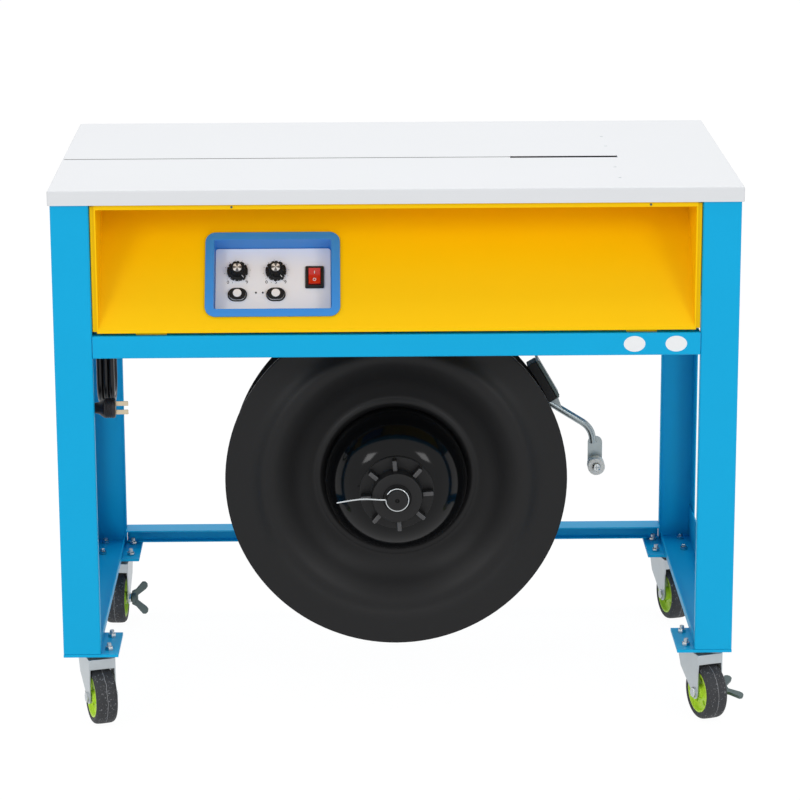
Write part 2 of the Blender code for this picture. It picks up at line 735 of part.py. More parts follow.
def make_caster(tag, side, end):
    # local frame: origin on the floor under the swivel, the wheel trails towards -Y
    holder = empty("caster_" + tag, (side * caster_x, end * caster_y, 0), (0, 0, radians(caster_yaw[tag])))
    base = caster_high - top_plate
    plate = box("caster_plate_" + tag, (-top_plate_x / 2, -top_plate_y / 2, base),
                (top_plate_x / 2, top_plate_y / 2, caster_high), "zinc")
    plate.location = (side * caster_x, end * caster_y, 0)
    for dx in (-1, 1):
        for dy in (-1, 1):
            x, y = dx * bolt_dx, dy * bolt_dy
            combine(plate, rod_mesh("bolt", bolt_r, (x, y, base + 0.001), (x, y, corner_top + 0.010), 8), "UNION")
    combine(plate, rod_mesh("race", head_r, (0, 0, base - 0.004), (0, 0, base + 0.001), 20), "UNION")
    # fork: bridge with two cheeks that narrow to the axle, seen from the side in YZ
    top = base - 0.004 - gap
    inner = wheel_wide / 2 + fork_clear
    outer = inner + fork_wall
    ay, az = -wheel_trail, wheel_r
    cheek = [(ay - 0.010, top), (0.024, top), (0.026, top - 0.012), (0.018, top - 0.030), (ay + 0.010, az)]
    for i in range(5):
        a = radians(0 - 45 * i)
        cheek.append((ay + 0.010 * cos(a), az + 0.010 * sin(a)))
    cheek.append((ay - 0.010, az + 0.002))
    fork = outline("fork_" + tag, [cheek], 2 * outer, "yz", (0, 0, 0), "zinc")
    bridge = top - 0.0035
    hollow = [(ay - 0.02, bridge - 0.006), (ay - 0.008, bridge - 0.006), (ay - 0.008, bridge), (0.05, bridge),
              (0.05, az - 0.03), (ay - 0.02, az - 0.03)]
    combine(fork, outline_mesh("hollow", [hollow], 2 * inner, "yz"))
    combine(fork, rod_mesh("axle", axle_r, (-outer - 0.003, ay, az), (outer + 0.003, ay, az), 12), "UNION")
    for face in (-1, 1):
        combine(fork, rod_mesh("head", 0.0062, (face * (outer - 0.0005), ay, az), (face * (outer + 0.0035), ay, az), 6),
                "UNION")
    fork.parent = holder
    # wheel: green hub and black tyre, turned about the axle
    half = wheel_wide / 2
    hub_r = wheel_r - 0.0095
    hub = turned("hub_" + tag, [(axle_r + gap, -half), (0.009, -half), (0.010, -half + 0.006), (hub_r - 0.003, -half + 0.006),
                                (hub_r, -half + 0.001), (hub_r, half - 0.001), (hub_r - 0.003, half - 0.006),
                                (0.010, half - 0.006), (0.009, half), (axle_r + gap, half)], "hub_lime", 20)
    tyre = turned("tyre_" + tag, [(hub_r + gap, -half + 0.001), (wheel_r - 0.0035, -half), (wheel_r, -half + 0.006),
                                  (wheel_r, half - 0.006), (wheel_r - 0.0035, half), (hub_r + gap, half - 0.001)],
                  "tyre_black", 28)
    for item in (hub, tyre):
        item.location = (0, ay, az)
        item.rotation_euler = (0, pi / 2, 0)
        item.parent = holder
    if tag in pedal_turn:
        make_pedal(tag, holder, outer)


def make_pedal(tag, holder, outer):
    # two-winged brake pedal beside the fork, turning about the axle's line
    start = outer + 0.0035 + gap
    reach = 0.024
    shape = [(start, -0.010), (start + 0.006, -0.013)]
    for i in range(5):
        a = radians(-110 + 42 * i)
        shape.append((start + reach - 0.006 + 0.006 * cos(a), -0.019 + 0.0062 * sin(a)))
    shape += [(start + 0.009, -0.004), (start + 0.009, 0.004)]
    for i in range(5):
        a = radians(-58 + 42 * i)
        shape.append((start + reach - 0.006 + 0.006 * cos(a), 0.019 + 0.0062 * sin(a)))
    shape += [(start + 0.006, 0.013), (start, 0.010)]
    pedal = outline("pedal_" + tag, [shape], 0.005, "xz", (0, 0, 0), "steel")
    combine(pedal, rod_mesh("boss", 0.008, (start, 0, 0), (start + 0.006, 0, 0), 12), "UNION")
    pedal.location = (0, -wheel_trail, wheel_r)
    pedal.rotation_euler = (radians(pedal_turn[tag]), 0, 0)
    pedal.parent = holder


def make_casters():
    for tag, side, end in (("fl", -1, -1), ("fr", 1, -1), ("bl", -1, 1), ("br", 1, 1)):
        make_caster(tag, side, end)


def make_drive():
    span = 2 * (leg_x - sheet - gap - cover_sheet - gap)
    t = tray_sheet
    y0, y1, z0 = tray_front, tray_back, tray_bottom
    section = [(y0, z0), (y1, z0), (y1, z0 + tray_flange), (y1 - t, z0 + tray_flange), (y1 - t, z0 + t),
               (y0 + t, z0 + t), (y0 + t, z0 + tray_flange), (y0, z0 + tray_flange)]
    tray = outline("drive_tray", [section], span, "yz", (0, 0, 0), "frame_blue")
    side = 0.010
    half = press_thick / 2
    guide = box_mesh("guide", (press_x0 - side, slot_y - half - side, z0 + 0.001),
                     (press_x1 + side, slot_y + half + side, 0.665))
    combine(tray, guide, "UNION")
    pocket = box_mesh("pocket", (press_x0 - 0.0005, slot_y - half - 0.0005, press_low - gap),
                      (press_x1 + 0.0005, slot_y + half + 0.0005, 0.70))
    combine(tray, pocket)
    gx, gz = gland_at
    hole = rod_mesh("gland_hole", 0.008 + gap, (gx, y0 - 0.01, gz), (gx, y0 + 0.01, gz), 16)
    combine(tray, hole)
    press = box("press_head", (press_x0, slot_y - half, press_low), (press_x1, slot_y + half, press_high), "steel")
    for x in (press_x0 + 0.043, press_x0 + 0.087):
        cut = box_mesh("split", (x - 0.0008, slot_y - 0.02, press_high - 0.030), (x + 0.0008, slot_y + 0.02, press_high + 0.01))
        combine(press, cut)
    # motor on a foot, belt wheels and gear case
    my, mz = 0.030, z0 + t + motor_r + 0.010
    x1 = belt_x - 0.014
    x0 = x1 - motor_long
    motor = turned("motor", [(0, 0), (motor_r * 0.5, 0), (motor_r * 0.9, 0.010), (motor_r, 0.022), (motor_r, motor_long - 0.020),
                             (motor_r * 0.86, motor_long - 0.008), (motor_r * 0.40, motor_long), (0, motor_long)],
                   "motor_grey", 28)
    motor.location = (x0, my, mz)
    motor.rotation_euler = (0, pi / 2, 0)
    low = z0 + t + gap - mz
    combine(motor, box_mesh("foot", (-low - 0.012, -0.040, 0.030), (-low, 0.040, motor_long - 0.030)), "UNION")
    shaft_r_motor = 0.006
    combine(motor, rod_mesh("shaft", shaft_r_motor, (0, 0, motor_long - 0.002), (0, 0, motor_long + 0.026), 12), "UNION")
    pulley = wheel("motor_pulley", 0.018, shaft_r_motor, (belt_x, my, mz))
    gy, gz2 = 0.115, z0 + t + 0.060
    case = box("gear_case", (belt_x + 0.010, gy - 0.048, z0 + t + gap), (belt_x + 0.130, gy + 0.048, z0 + t + 0.115), "cast_grey")
    combine(case, rod_mesh("shaft", 0.007, (belt_x - 0.010, gy, gz2), (belt_x + 0.020, gy, gz2), 12), "UNION")
    combine(case, rod_mesh("output", 0.011, (belt_x + 0.120, gy, gz2), (press_x1, gy, gz2), 16), "UNION")
    wheel("gear_pulley", 0.042, 0.007, (belt_x, gy, gz2))


def wheel(name, radius, bore, place):
    half = 0.007
    profile = [(bore + gap, -half), (radius, -half), (radius, -half + 0.002), (radius - 0.006, 0), (radius, half - 0.002),
               (radius, half), (bore + gap, half)]
    obj = turned(name, profile, "cast_grey", 24)
    obj.location = place
    obj.rotation_euler = (0, pi / 2, 0)
    return obj


def smooth_path(knots, spacing):
    # even points on a Catmull-Rom curve through the knots
    fine = []
    ends = [Vector(knots[0]) * 2 - Vector(knots[1])] + [Vector(k) for k in knots]
    ends.append(Vector(knots[-1]) * 2 - Vector(knots[-2]))
    for i in range(1, len(ends) - 2):
        p0, p1, p2, p3 = ends[i - 1:i + 3]
        for j in range(24):
            t = j / 24
            fine.append(0.5 * ((2 * p1) + (p2 - p0) * t + (2 * p0 - 5 * p1 + 4 * p2 - p3) * t * t
                               + (3 * p1 - p0 - 3 * p2 + p3) * t ** 3))
    fine.append(ends[-2])
    length = sum((b - a).length for a, b in zip(fine, fine[1:]))
    count = max(2, round(length / spacing))
    step = length / count
    points = [fine[0]]
    walked = 0.0
    wanted = step
    for a, b in zip(fine, fine[1:]):
        piece = (b - a).length
        while walked + piece >= wanted - 1e-9 and len(points) < count:
            points.append(a.lerp(b, (wanted - walked) / piece))
            wanted += step
        walked += piece
    points.append(fine[-1])
    return [tuple(p) for p in points]


def tail_path():
    # down beside the hank, across in an S of two even arcs, then a quarter turn into the plug
    px, py, pz = plug_at
    start = Vector((hank_x - hank_thick / 2 - 2 * gap - cord_r, hank_y - 0.0275, 0.520))
    low = Vector((px - plug_long - gap - tail_bend, py, pz + tail_bend))
    aside = Vector((low.x - start.x, low.y - start.y, 0))
    drop = start.z - low.z
    whole = 2 * atan2(aside.length, drop)
    radius = drop / (2 * sin(whole))
    points = []
    for i in range(6):
        a = whole * i / 6
        points.append(start + aside.normalized() * radius * (1 - cos(a)) - Vector((0, 0, radius * sin(a))))
    for i in range(6, -1, -1):
        a = whole * i / 6
        points.append(low - aside.normalized() * radius * (1 - cos(a)) + Vector((0, 0, radius * sin(a))))
    for i in range(1, 7):
        a = pi / 2 * i / 6
        points.append((low.x + tail_bend * (1 - cos(a)), py, low.z - tail_bend * sin(a)))
    points[-1] = (px - plug_long - 0.0012, py, pz)
    points.append((px - plug_long - gap, py, pz))
    return [tuple(p) for p in points]


def make_cord():
    gx, gz = gland_at
    bore = cord_r + gap
    gland = turned("cord_gland", [(bore, -0.012), (0.0078, -0.012), (0.0078, -gap - 0.0003), (0.0115, -gap - 0.0003),
                                  (0.0115, 0.007), (0.0085, 0.009), (0.0065, 0.018), (bore, 0.018)], "cord_black", 16)
    gland.location = (gx, tray_front - 0.0006, gz)
    gland.rotation_euler = (pi / 2, 0, 0)
    # hank: the bundled length, wound upright over the hook on the side cover
    middle = (hank_low + hank_high) / 2
    tall = hank_high - hank_low
    hole_deep = hank_deep - 2 * hank_wall
    ends = rounded(hank_deep, tall, hank_deep / 2 - 0.0001, 5, (hank_y, middle))
    eye = rounded(hole_deep, tall - 2 * hank_wall, hole_deep / 2 - 0.0001, 4, (hank_y, middle))
    outline("cord_hank", [ends, eye], hank_thick, "yz", (hank_x, 0, 0), "cord_black")
    mouth = tray_front - 0.0006 - 0.018
    rest = hank_high + cord_r + 2 * gap
    lead = [(gx, mouth + 0.016, gz), (gx, mouth - 0.004, gz), (gx - 0.006, mouth - 0.026, gz - 0.0006),
            (hank_x - 0.004, hank_y + 0.020, rest + 0.0006), (hank_x - 0.0078, hank_y - 0.004, rest)]
    tube("cord_lead", smooth_path(lead, 0.009), cord_r, "cord_black", 2)
    tube("cord_tail", tail_path(), cord_r, "cord_black", 2)
    px, py, pz = plug_at
    body = [(0, 0), (0.0125, 0), (0.0135, -0.002), (0.0135, -0.013), (0.0115, -0.017), (0.0075, -0.024),
            (0.0055, -plug_long), (0, -plug_long)]
    plug = turned("plug", body, "plug_black", 20)
    plug.location = (px, py, pz)
    plug.rotation_euler = (0, pi / 2, 0)
    for side in (-1, 1):
        pin = box_mesh("pin", (side * 0.0058 - 0.0032, -0.0008, -0.002), (side * 0.0058 + 0.0032, 0.0008, 0.017))
        combine(plug, pin, "UNION")


def make_materials():
    material("frame_blue", (0.008, 0.336, 0.666), 0.42)
    material("panel_yellow", (0.965, 0.515, 0.0), 0.38)
    material("table_white", (0.82, 0.825, 0.84), 0.45)
    material("bezel_blue", (0.035, 0.255, 0.70), 0.40)
    material("plate_white", (0.80, 0.83, 0.90), 0.35)
    material("knob_black", (0.012, 0.012, 0.013), 0.30)
    material("button_white", (0.85, 0.86, 0.88), 0.35)
    material("switch_black", (0.010, 0.010, 0.011), 0.35)
    material("switch_red", (0.60, 0.012, 0.008), 0.28)
    material("reel_black", (0.018, 0.018, 0.019), 0.40)
    material("nut_black", (0.012, 0.012, 0.013), 0.45)
    material("zinc", (0.62, 0.66, 0.68), 0.32, 0.9)
    material("steel", (0.33, 0.36, 0.37), 0.38, 0.9)
    material("rubber", (0.020, 0.020, 0.020), 0.75)
    material("nylon", (0.86, 0.87, 0.86), 0.45)
    material("hub_lime", (0.46, 0.74, 0.045), 0.42)
    material("tyre_black", (0.028, 0.028, 0.030), 0.62)
    material("cord_black", (0.012, 0.012, 0.012), 0.48)
    material("plug_black", (0.012, 0.012, 0.013), 0.42)
    material("motor_grey", (0.10, 0.13, 0.15), 0.50)
    material("cast_grey", (0.30, 0.31, 0.32), 0.48, 0.7)


def centre_machine():
    for obj in parts.objects:
        if obj.parent is None:
            obj.location.x -= middle_x
            obj.location.y -= middle_y


clear_scene()
parts = bpy.data.collections.new("strapping_machine")
cutters = bpy.data.collections.new("cutters")
bpy.context.scene.collection.children.link(parts)
bpy.context.scene.collection.children.link(cutters)
make_materials()
make_legs()
make_beams()
make_side_rails()
make_covers()
make_table()
make_front_panel()
make_controls()
make_reel()
make_hanger()
make_brake_arm()
make_casters()
make_drive()
make_cord()
centre_machine()
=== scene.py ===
# Strapping machine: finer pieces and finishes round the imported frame
import math
from math import cos, pi, radians, sin, sqrt
import bmesh
import bpy
from mathutils import Matrix, Vector


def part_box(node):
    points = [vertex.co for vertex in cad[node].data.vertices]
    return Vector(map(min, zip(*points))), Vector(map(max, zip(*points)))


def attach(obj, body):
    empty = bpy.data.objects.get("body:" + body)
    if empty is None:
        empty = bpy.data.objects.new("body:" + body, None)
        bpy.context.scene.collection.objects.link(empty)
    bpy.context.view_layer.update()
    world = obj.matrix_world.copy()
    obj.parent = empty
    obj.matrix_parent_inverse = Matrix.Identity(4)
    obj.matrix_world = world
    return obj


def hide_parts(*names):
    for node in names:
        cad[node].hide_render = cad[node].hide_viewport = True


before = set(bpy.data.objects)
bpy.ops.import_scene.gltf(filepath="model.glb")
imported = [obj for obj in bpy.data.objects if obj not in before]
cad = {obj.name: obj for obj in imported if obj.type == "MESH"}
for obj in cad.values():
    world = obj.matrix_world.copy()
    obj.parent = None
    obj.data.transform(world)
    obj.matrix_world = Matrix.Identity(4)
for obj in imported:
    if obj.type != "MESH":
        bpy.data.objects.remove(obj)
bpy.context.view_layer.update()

tableLow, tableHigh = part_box("table")
tableMiddle = (tableLow + tableHigh) / 2
origin = Vector((tableMiddle.x, tableMiddle.y, 0))      # on the floor, under the middle of the table


def at(x, y, z):
    return origin + Vector((x, y, z))


def setAt(x, y, z):
    return Matrix.Translation(at(x, y, z))


out = (0, -1, 0)        # towards the front
toFront = Matrix.Rotation(pi / 2, 4, "X")       # stands a flat part up, its top to the front


# small helpers for edit mode

def deselectAll():
    for obj in list(bpy.context.selected_objects):
        obj.select_set(False)


def pick(obj):
    deselectAll()
    obj.select_set(True)
    bpy.context.view_layer.objects.active = obj


def openEdit(obj):
    pick(obj)
    bpy.ops.object.mode_set(mode="EDIT")


def closeEdit():
    if bpy.context.object and bpy.context.object.mode == "EDIT":
        bpy.ops.object.mode_set(mode="OBJECT")


def chooseFaces(test):
    # leaves only the faces whose middle and normal pass the test selected
    bpy.ops.mesh.select_mode(type="FACE")
    bpy.ops.mesh.select_all(action="DESELECT")
    mesh = bmesh.from_edit_mesh(bpy.context.object.data)
    for face in mesh.faces:
        face.select_set(test(face.calc_center_median(), face.normal))
    bmesh.update_edit_mesh(bpy.context.object.data)


def chooseEdges(test):
    bpy.ops.mesh.select_mode(type="EDGE")
    bpy.ops.mesh.select_all(action="DESELECT")
    mesh = bmesh.from_edit_mesh(bpy.context.object.data)
    found = 0
    for edge in mesh.edges:
        hit = bool(test(edge.verts[0].co, edge.verts[1].co))
        edge.select_set(hit)
        found += hit
    bmesh.update_edit_mesh(bpy.context.object.data)
    return found


def link(name, mesh):
    obj = bpy.data.objects.new(name, mesh)
    bpy.context.scene.collection.objects.link(obj)
    return obj


def easeEdges(piece, width, steps=2, angle=30):
    bevel = piece.modifiers.new("edges", "BEVEL")
    bevel.width = width
    bevel.segments = steps
    bevel.limit_method = "ANGLE"
    bevel.angle_limit = radians(angle)
    return piece


def finish(piece, material, body, replaced=(), place=None, smooth=35):
    # applies what is left, closes the mesh, paints it and hangs it on its body
    closeEdit()
    pick(piece)
    for modifier in list(piece.modifiers):
        bpy.ops.object.modifier_apply(modifier=modifier.name)
    if place is not None:
        piece.matrix_world = place @ piece.matrix_world
    bpy.ops.object.transform_apply(location=True, rotation=True, scale=True)
    openEdit(piece)
    bpy.ops.mesh.select_all(action="SELECT")
    bpy.ops.mesh.remove_doubles(threshold=0.000004)
    bpy.ops.mesh.normals_make_consistent(inside=False)
    closeEdit()
    piece.data.materials.clear()
    piece.data.materials.append(material)
    bpy.ops.object.shade_smooth_by_angle(angle=radians(smooth))
    even = piece.modifiers.new("even", "WEIGHTED_NORMAL")   # broad faces stay flat beside their eased edges
    even.keep_sharp = True
    bpy.ops.object.modifier_apply(modifier="even")
    if replaced:
        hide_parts(*replaced)
    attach(piece, body)
    return piece


def again(piece, name, place):
    # one more of the same piece, with a mesh of its own
    other = link(name, piece.data.copy())
    other.data.transform(place @ piece.matrix_world)
    return other


def moved(piece, place):
    # a part in the making is set in its place, and the place goes into its mesh
    pick(piece)
    for modifier in list(piece.modifiers):
        bpy.ops.object.modifier_apply(modifier=modifier.name)
    piece.matrix_world = place @ piece.matrix_world
    bpy.ops.object.transform_apply(location=True, rotation=True, scale=True)
    return piece


def joined(name, pieces):
    # several parts of one make become one piece
    deselectAll()
    for piece in pieces:
        piece.select_set(True)
    bpy.context.view_layer.objects.active = pieces[0]
    bpy.ops.object.join()
    pieces[0].name = name
    return pieces[0]


def turned(name, profile, place=(0, 0, 0), along=(0, 0, 1), segments=64, ring=False):
    # on a lathe: a disc, or a ring of edges, is extruded and resized from one (radius, height) to the next
    middle = Vector(place)
    axis = Vector(along).normalized()
    tilt = Vector((0, 0, 1)).rotation_difference(axis).to_euler()
    radius, height = profile[0]
    deselectAll()
    bpy.ops.mesh.primitive_circle_add(vertices=segments, radius=radius, location=middle + axis * height,
        rotation=tilt, fill_type="NOTHING" if ring else "NGON", enter_editmode=True)
    piece = bpy.context.object
    piece.name = name
    bpy.ops.mesh.select_mode(type="VERT")
    bpy.ops.mesh.select_all(action="SELECT")
    for wide, high in profile[1:] + (profile[:1] if ring else []):
        bpy.ops.mesh.extrude_region_move()
        if high != height:
            bpy.ops.transform.translate(value=axis * (high - height))
        if wide == 0:
            bpy.ops.mesh.merge(type="CENTER")
        elif wide != radius:
            bpy.ops.transform.resize(value=(wide / radius,) * 3, center_override=middle + axis * high)
        radius, height = wide, high
    closeEdit()
    return piece


def eased(points, rounds=2):
    # rounds off a drawn profile by cutting its corners
    for _ in range(rounds):
        cut = [points[0]]
        for (r0, h0), (r1, h1) in zip(points, points[1:]):
            cut += [(r0 * 0.75 + r1 * 0.25, h0 * 0.75 + h1 * 0.25),
                (r0 * 0.25 + r1 * 0.75, h0 * 0.25 + h1 * 0.75)]
        points = cut + [points[-1]]
    return points


def roundedPlate(name, wide, tall, thick, corner, steps=6, middle=(0, 0, 0), edge=0.0):
    # a sheet with round corners, its underside at middle
    deselectAll()
    bpy.ops.mesh.primitive_plane_add(size=1, location=middle, enter_editmode=True)
    piece = bpy.context.object
    piece.name = name
    bpy.ops.mesh.select_all(action="SELECT")
    bpy.ops.transform.resize(value=(wide, tall, 1), center_override=middle)
    bpy.ops.mesh.bevel(offset=corner, segments=steps, affect="VERTICES")
    bpy.ops.mesh.select_all(action="SELECT")
    bpy.ops.mesh.extrude_region_move()
    bpy.ops.transform.translate(value=(0, 0, thick))
    closeEdit()
    if edge:
        easeEdges(piece, edge, 2, 50)
    return piece


def roundedBlock(name, low, high, edge, steps=3):
    deselectAll()
    low, high = Vector(low), Vector(high)
    bpy.ops.mesh.primitive_cube_add(size=1, location=(low + high) / 2, enter_editmode=True)
    piece = bpy.context.object
    piece.name = name
    bpy.ops.mesh.select_all(action="SELECT")
    bpy.ops.transform.resize(value=high - low, center_override=(low + high) / 2)
    bpy.ops.mesh.bevel(offset=edge, segments=steps, affect="EDGES")
    closeEdit()
    return piece


def cutBy(piece, tools):
    for tool in tools:
        cut = piece.modifiers.new(tool.name, "BOOLEAN")
        cut.operation = "DIFFERENCE"
        cut.solver = "EXACT"
        cut.object = tool
        pick(piece)
        bpy.ops.object.modifier_apply(modifier=cut.name)
        bpy.data.objects.remove(tool)
    return piece


def hexScrew(name, acrossFlats, high, stud=0.0):
    # head down on Z = 0, with a chamfered top; a stud may stand out of it
    radius = acrossFlats / sqrt(3)
    head = turned(name, [(radius, 0), (radius, high * 0.82), (radius * 0.90, high)], segments=6)
    parts = [head]
    if stud:
        parts.append(turned(name + "Stud", [(radius * 0.52, high * 0.5),
            (radius * 0.52, high + stud - 0.0005), (radius * 0.40, high + stud)], segments=20))
    return joined(name, parts)


def crossScrew(name, radius, high):
    # a pan head with a cross cut in it, its seat on Z = 0
    head = turned(name, [(radius, 0), (radius, high * 0.35)]
        + [(radius * cos(a), high * (0.35 + 0.65 * sin(a))) for a in (0.4, 0.75, 1.05, 1.3)], segments=28)
    arms = []
    for x, y in ((radius * 0.6, radius * 0.13), (radius * 0.13, radius * 0.6)):
        arms.append(roundedBlock("slotArm", (-x, -y, high * 0.55), (x, y, high * 1.5), radius * 0.02, 1))
    return cutBy(head, arms)


def foldEdges(piece, axis, spots, radius, steps=4):
    # rounds the bends of a folded sheet: edges along the axis, by their place in the other two directions
    others = [i for i in range(3) if i != axis]

    def onBend(a, b):
        if abs(a[axis] - b[axis]) < 0.001 or any(abs(a[i] - b[i]) > 0.0003 for i in others):
            return False
        return any(abs(a[others[0]] - u) < 0.0006 and abs(a[others[1]] - v) < 0.0006 for u, v in spots)

    openEdit(piece)
    if chooseEdges(onBend):
        bpy.ops.mesh.bevel(offset=radius, segments=steps, affect="EDGES")
    closeEdit()


def sheetCopy(node, name=None):
    # the frame's own shape, merged into whole faces so that its bends and rims can be rounded
    piece = link(name or node + "Sheet", cad[node].data.copy())
    openEdit(piece)
    bpy.ops.mesh.select_all(action="SELECT")
    bpy.ops.mesh.remove_doubles(threshold=0.00002)
    bpy.ops.mesh.dissolve_limited(angle_limit=radians(0.8))
    closeEdit()
    return piece


# finishes

def linear(shade):
    value = shade / 255
    return value / 12.92 if value <= 0.04045 else ((value + 0.055) / 1.055) ** 2.4


def wired(tree, kind, inputs, **settings):
    # adds a node; each input is given a number, or the socket that feeds it
    node = tree.nodes.new("ShaderNode" + kind)
    for name, value in settings.items():
        setattr(node, name, value)
    for name, value in inputs.items():
        if isinstance(value, bpy.types.NodeSocket):
            tree.links.new(value, node.inputs[name])
        else:
            node.inputs[name].default_value = value
    return node


def paint(name, colour, rough, metal=0.0, coat=0.0, tint=0.035, cloud=9.0, roughSpread=0.06, peel=0.00003,
        peelSize=0.0012, brush=None, gloss=0.35):
    # clouded colour and roughness, and a fine peel or grain of the given depth and size in metres
    mat = bpy.data.materials.new(name)
    mat.use_nodes = True
    tree = mat.node_tree
    shader = tree.nodes["Principled BSDF"]
    for socket, value in (("Metallic", metal), ("Coat Weight", coat), ("Coat Roughness", 0.08),
            ("Specular IOR Level", gloss)):
        shader.inputs[socket].default_value = value
    place = wired(tree, "TexCoord", {}).outputs["Object"]
    stretched = wired(tree, "Mapping", {"Vector": place, "Scale": brush or (1, 1, 1)}).outputs["Vector"]
    clouds = wired(tree, "TexNoise", {"Scale": cloud, "Detail": 4, "Vector": place}).outputs["Fac"]
    base = [linear(shade) for shade in colour]
    mix = wired(tree, "Mix", {}, data_type="RGBA")
    mix.inputs["A"].default_value = (*[max(0, value * (1 - tint)) for value in base], 1)
    mix.inputs["B"].default_value = (*[min(1, value * (1 + tint)) for value in base], 1)
    tree.links.new(clouds, mix.inputs["Factor"])
    grain = wired(tree, "TexNoise", {"Scale": 1 / peelSize, "Detail": 3, "Vector": stretched})
    spread = wired(tree, "MapRange", {"To Min": max(0.02, rough - roughSpread),
        "To Max": min(1.0, rough + roughSpread), "Value": clouds})
    bump = wired(tree, "Bump", {"Strength": 0.6, "Distance": peel, "Height": grain.outputs["Fac"]})
    for socket, source in (("Base Color", mix.outputs["Result"]), ("Roughness", spread.outputs["Result"]),
            ("Normal", bump.outputs["Normal"])):
        tree.links.new(source, shader.inputs[socket])
    return mat


frameBlue = paint("frameBlue", (0, 171, 224), 0.42, tint=0.03, gloss=0.18)
panelYellow = paint("panelYellow", (255, 203, 0), 0.40, tint=0.02, gloss=0.12)
tableWhite = paint("tableWhite", (224, 226, 229), 0.45, tint=0.012, gloss=0.14)
bezelBlue = paint("bezelBlue", (52, 140, 222), 0.36, peel=0.00002, peelSize=0.0006)
plateWhite = paint("plateWhite", (244, 247, 254), 0.34, tint=0.01, peel=0.000008)
knobBlack = paint("knobBlack", (22, 23, 25), 0.48, peel=0.00001, peelSize=0.0004, gloss=0.2)
capSilver = paint("capSilver", (226, 228, 232), 0.34, metal=0.15, peel=0.00001, peelSize=0.0005)
# the darker cap colour is a painted reflection, for sectors of the spun cap face
capPaintedReflection = paint("capPaintedReflection", (104, 106, 112), 0.30, metal=0.4, peel=0.00001, peelSize=0.0005)
buttonWhite = paint("buttonWhite", (240, 241, 243), 0.34, tint=0.01, peel=0.00001)
# black plastic of the switch and the small lamps; also painted shade in the table's slit and slot
blackPlasticAndShade = paint("blackPlasticAndShade", (24, 24, 26), 0.33, peel=0.00002, peelSize=0.0004)
switchRed = paint("switchRed", (205, 32, 22), 0.22, coat=0.4, peel=0.00001)
printGrey = paint("printGrey", (26, 28, 36), 0.5)
reelBlack = paint("reelBlack", (31, 31, 32), 0.42, tint=0.06, cloud=14, peel=0.00005,
    peelSize=0.0009, gloss=0.2)
bellBlack = paint("bellBlack", (7, 8, 10), 0.12, roughSpread=0.02, peel=0.00002, peelSize=0.004, gloss=0.2)
nutBlack = paint("nutBlack", (25, 25, 26), 0.42, peel=0.00006, peelSize=0.0006, gloss=0.25)
# paler rib crests of the hub nut: partly wear, partly a painted highlight
nutWearAndHighlight = paint("nutWearAndHighlight", (64, 64, 66), 0.30, tint=0.35, cloud=320, peel=0.00010,
    peelSize=0.0005, gloss=0.5)
zincPlate = paint("zincPlate", (186, 193, 197), 0.34, metal=0.75, tint=0.10, cloud=60, peel=0.00003,
    peelSize=0.0008)
brightSteel = paint("brightSteel", (200, 204, 206), 0.24, metal=1.0, tint=0.06, cloud=30, peel=0.00002,
    peelSize=0.0006, brush=(1, 1, 14))
armSteel = paint("armSteel", (158, 168, 171), 0.30, metal=0.85, tint=0.14, cloud=80, peel=0.00004,
    peelSize=0.0008)
pedalSteel = paint("pedalSteel", (92, 104, 104), 0.40, metal=0.75, tint=0.10, cloud=50, peel=0.00005)
darkRubber = paint("darkRubber", (34, 35, 38), 0.62, tint=0.08, cloud=40, peel=0.00008, peelSize=0.0007)
nylonWhite = paint("nylonWhite", (232, 234, 232), 0.40, tint=0.015)
hubLime = paint("hubLime", (200, 238, 66), 0.38, tint=0.03, peel=0.00003, peelSize=0.0008)
cordBlack = paint("cordBlack", (26, 26, 28), 0.30, tint=0.05, peel=0.00003, peelSize=0.0007)
plugBlack = paint("plugBlack", (34, 31, 34), 0.45, tint=0.05, peel=0.00004, peelSize=0.0005)
pinBrass = paint("pinBrass", (206, 192, 166), 0.26, metal=1.0, tint=0.06, peel=0.00001)
motorGrey = paint("motorGrey", (92, 104, 112), 0.48, peel=0.00006, peelSize=0.0012)
castGrey = paint("castGrey", (150, 152, 154), 0.46, metal=0.7, tint=0.08, cloud=30, peel=0.0001,
    peelSize=0.0010)
labelWhite = paint("labelWhite", (238, 240, 242), 0.38, tint=0.01)
tieWhite = paint("tieWhite", (222, 222, 214), 0.40, tint=0.02)


tyreLook = {"shade": (54, 55, 58), "rough": 0.66, "waver": 0.0022, "lineAt": 0.0011, "lineWide": 0.00032,
    "specks": (0.60, 0.74), "dusty": 0.55, "dust": (0.42, 0.43, 0.45, 1)}


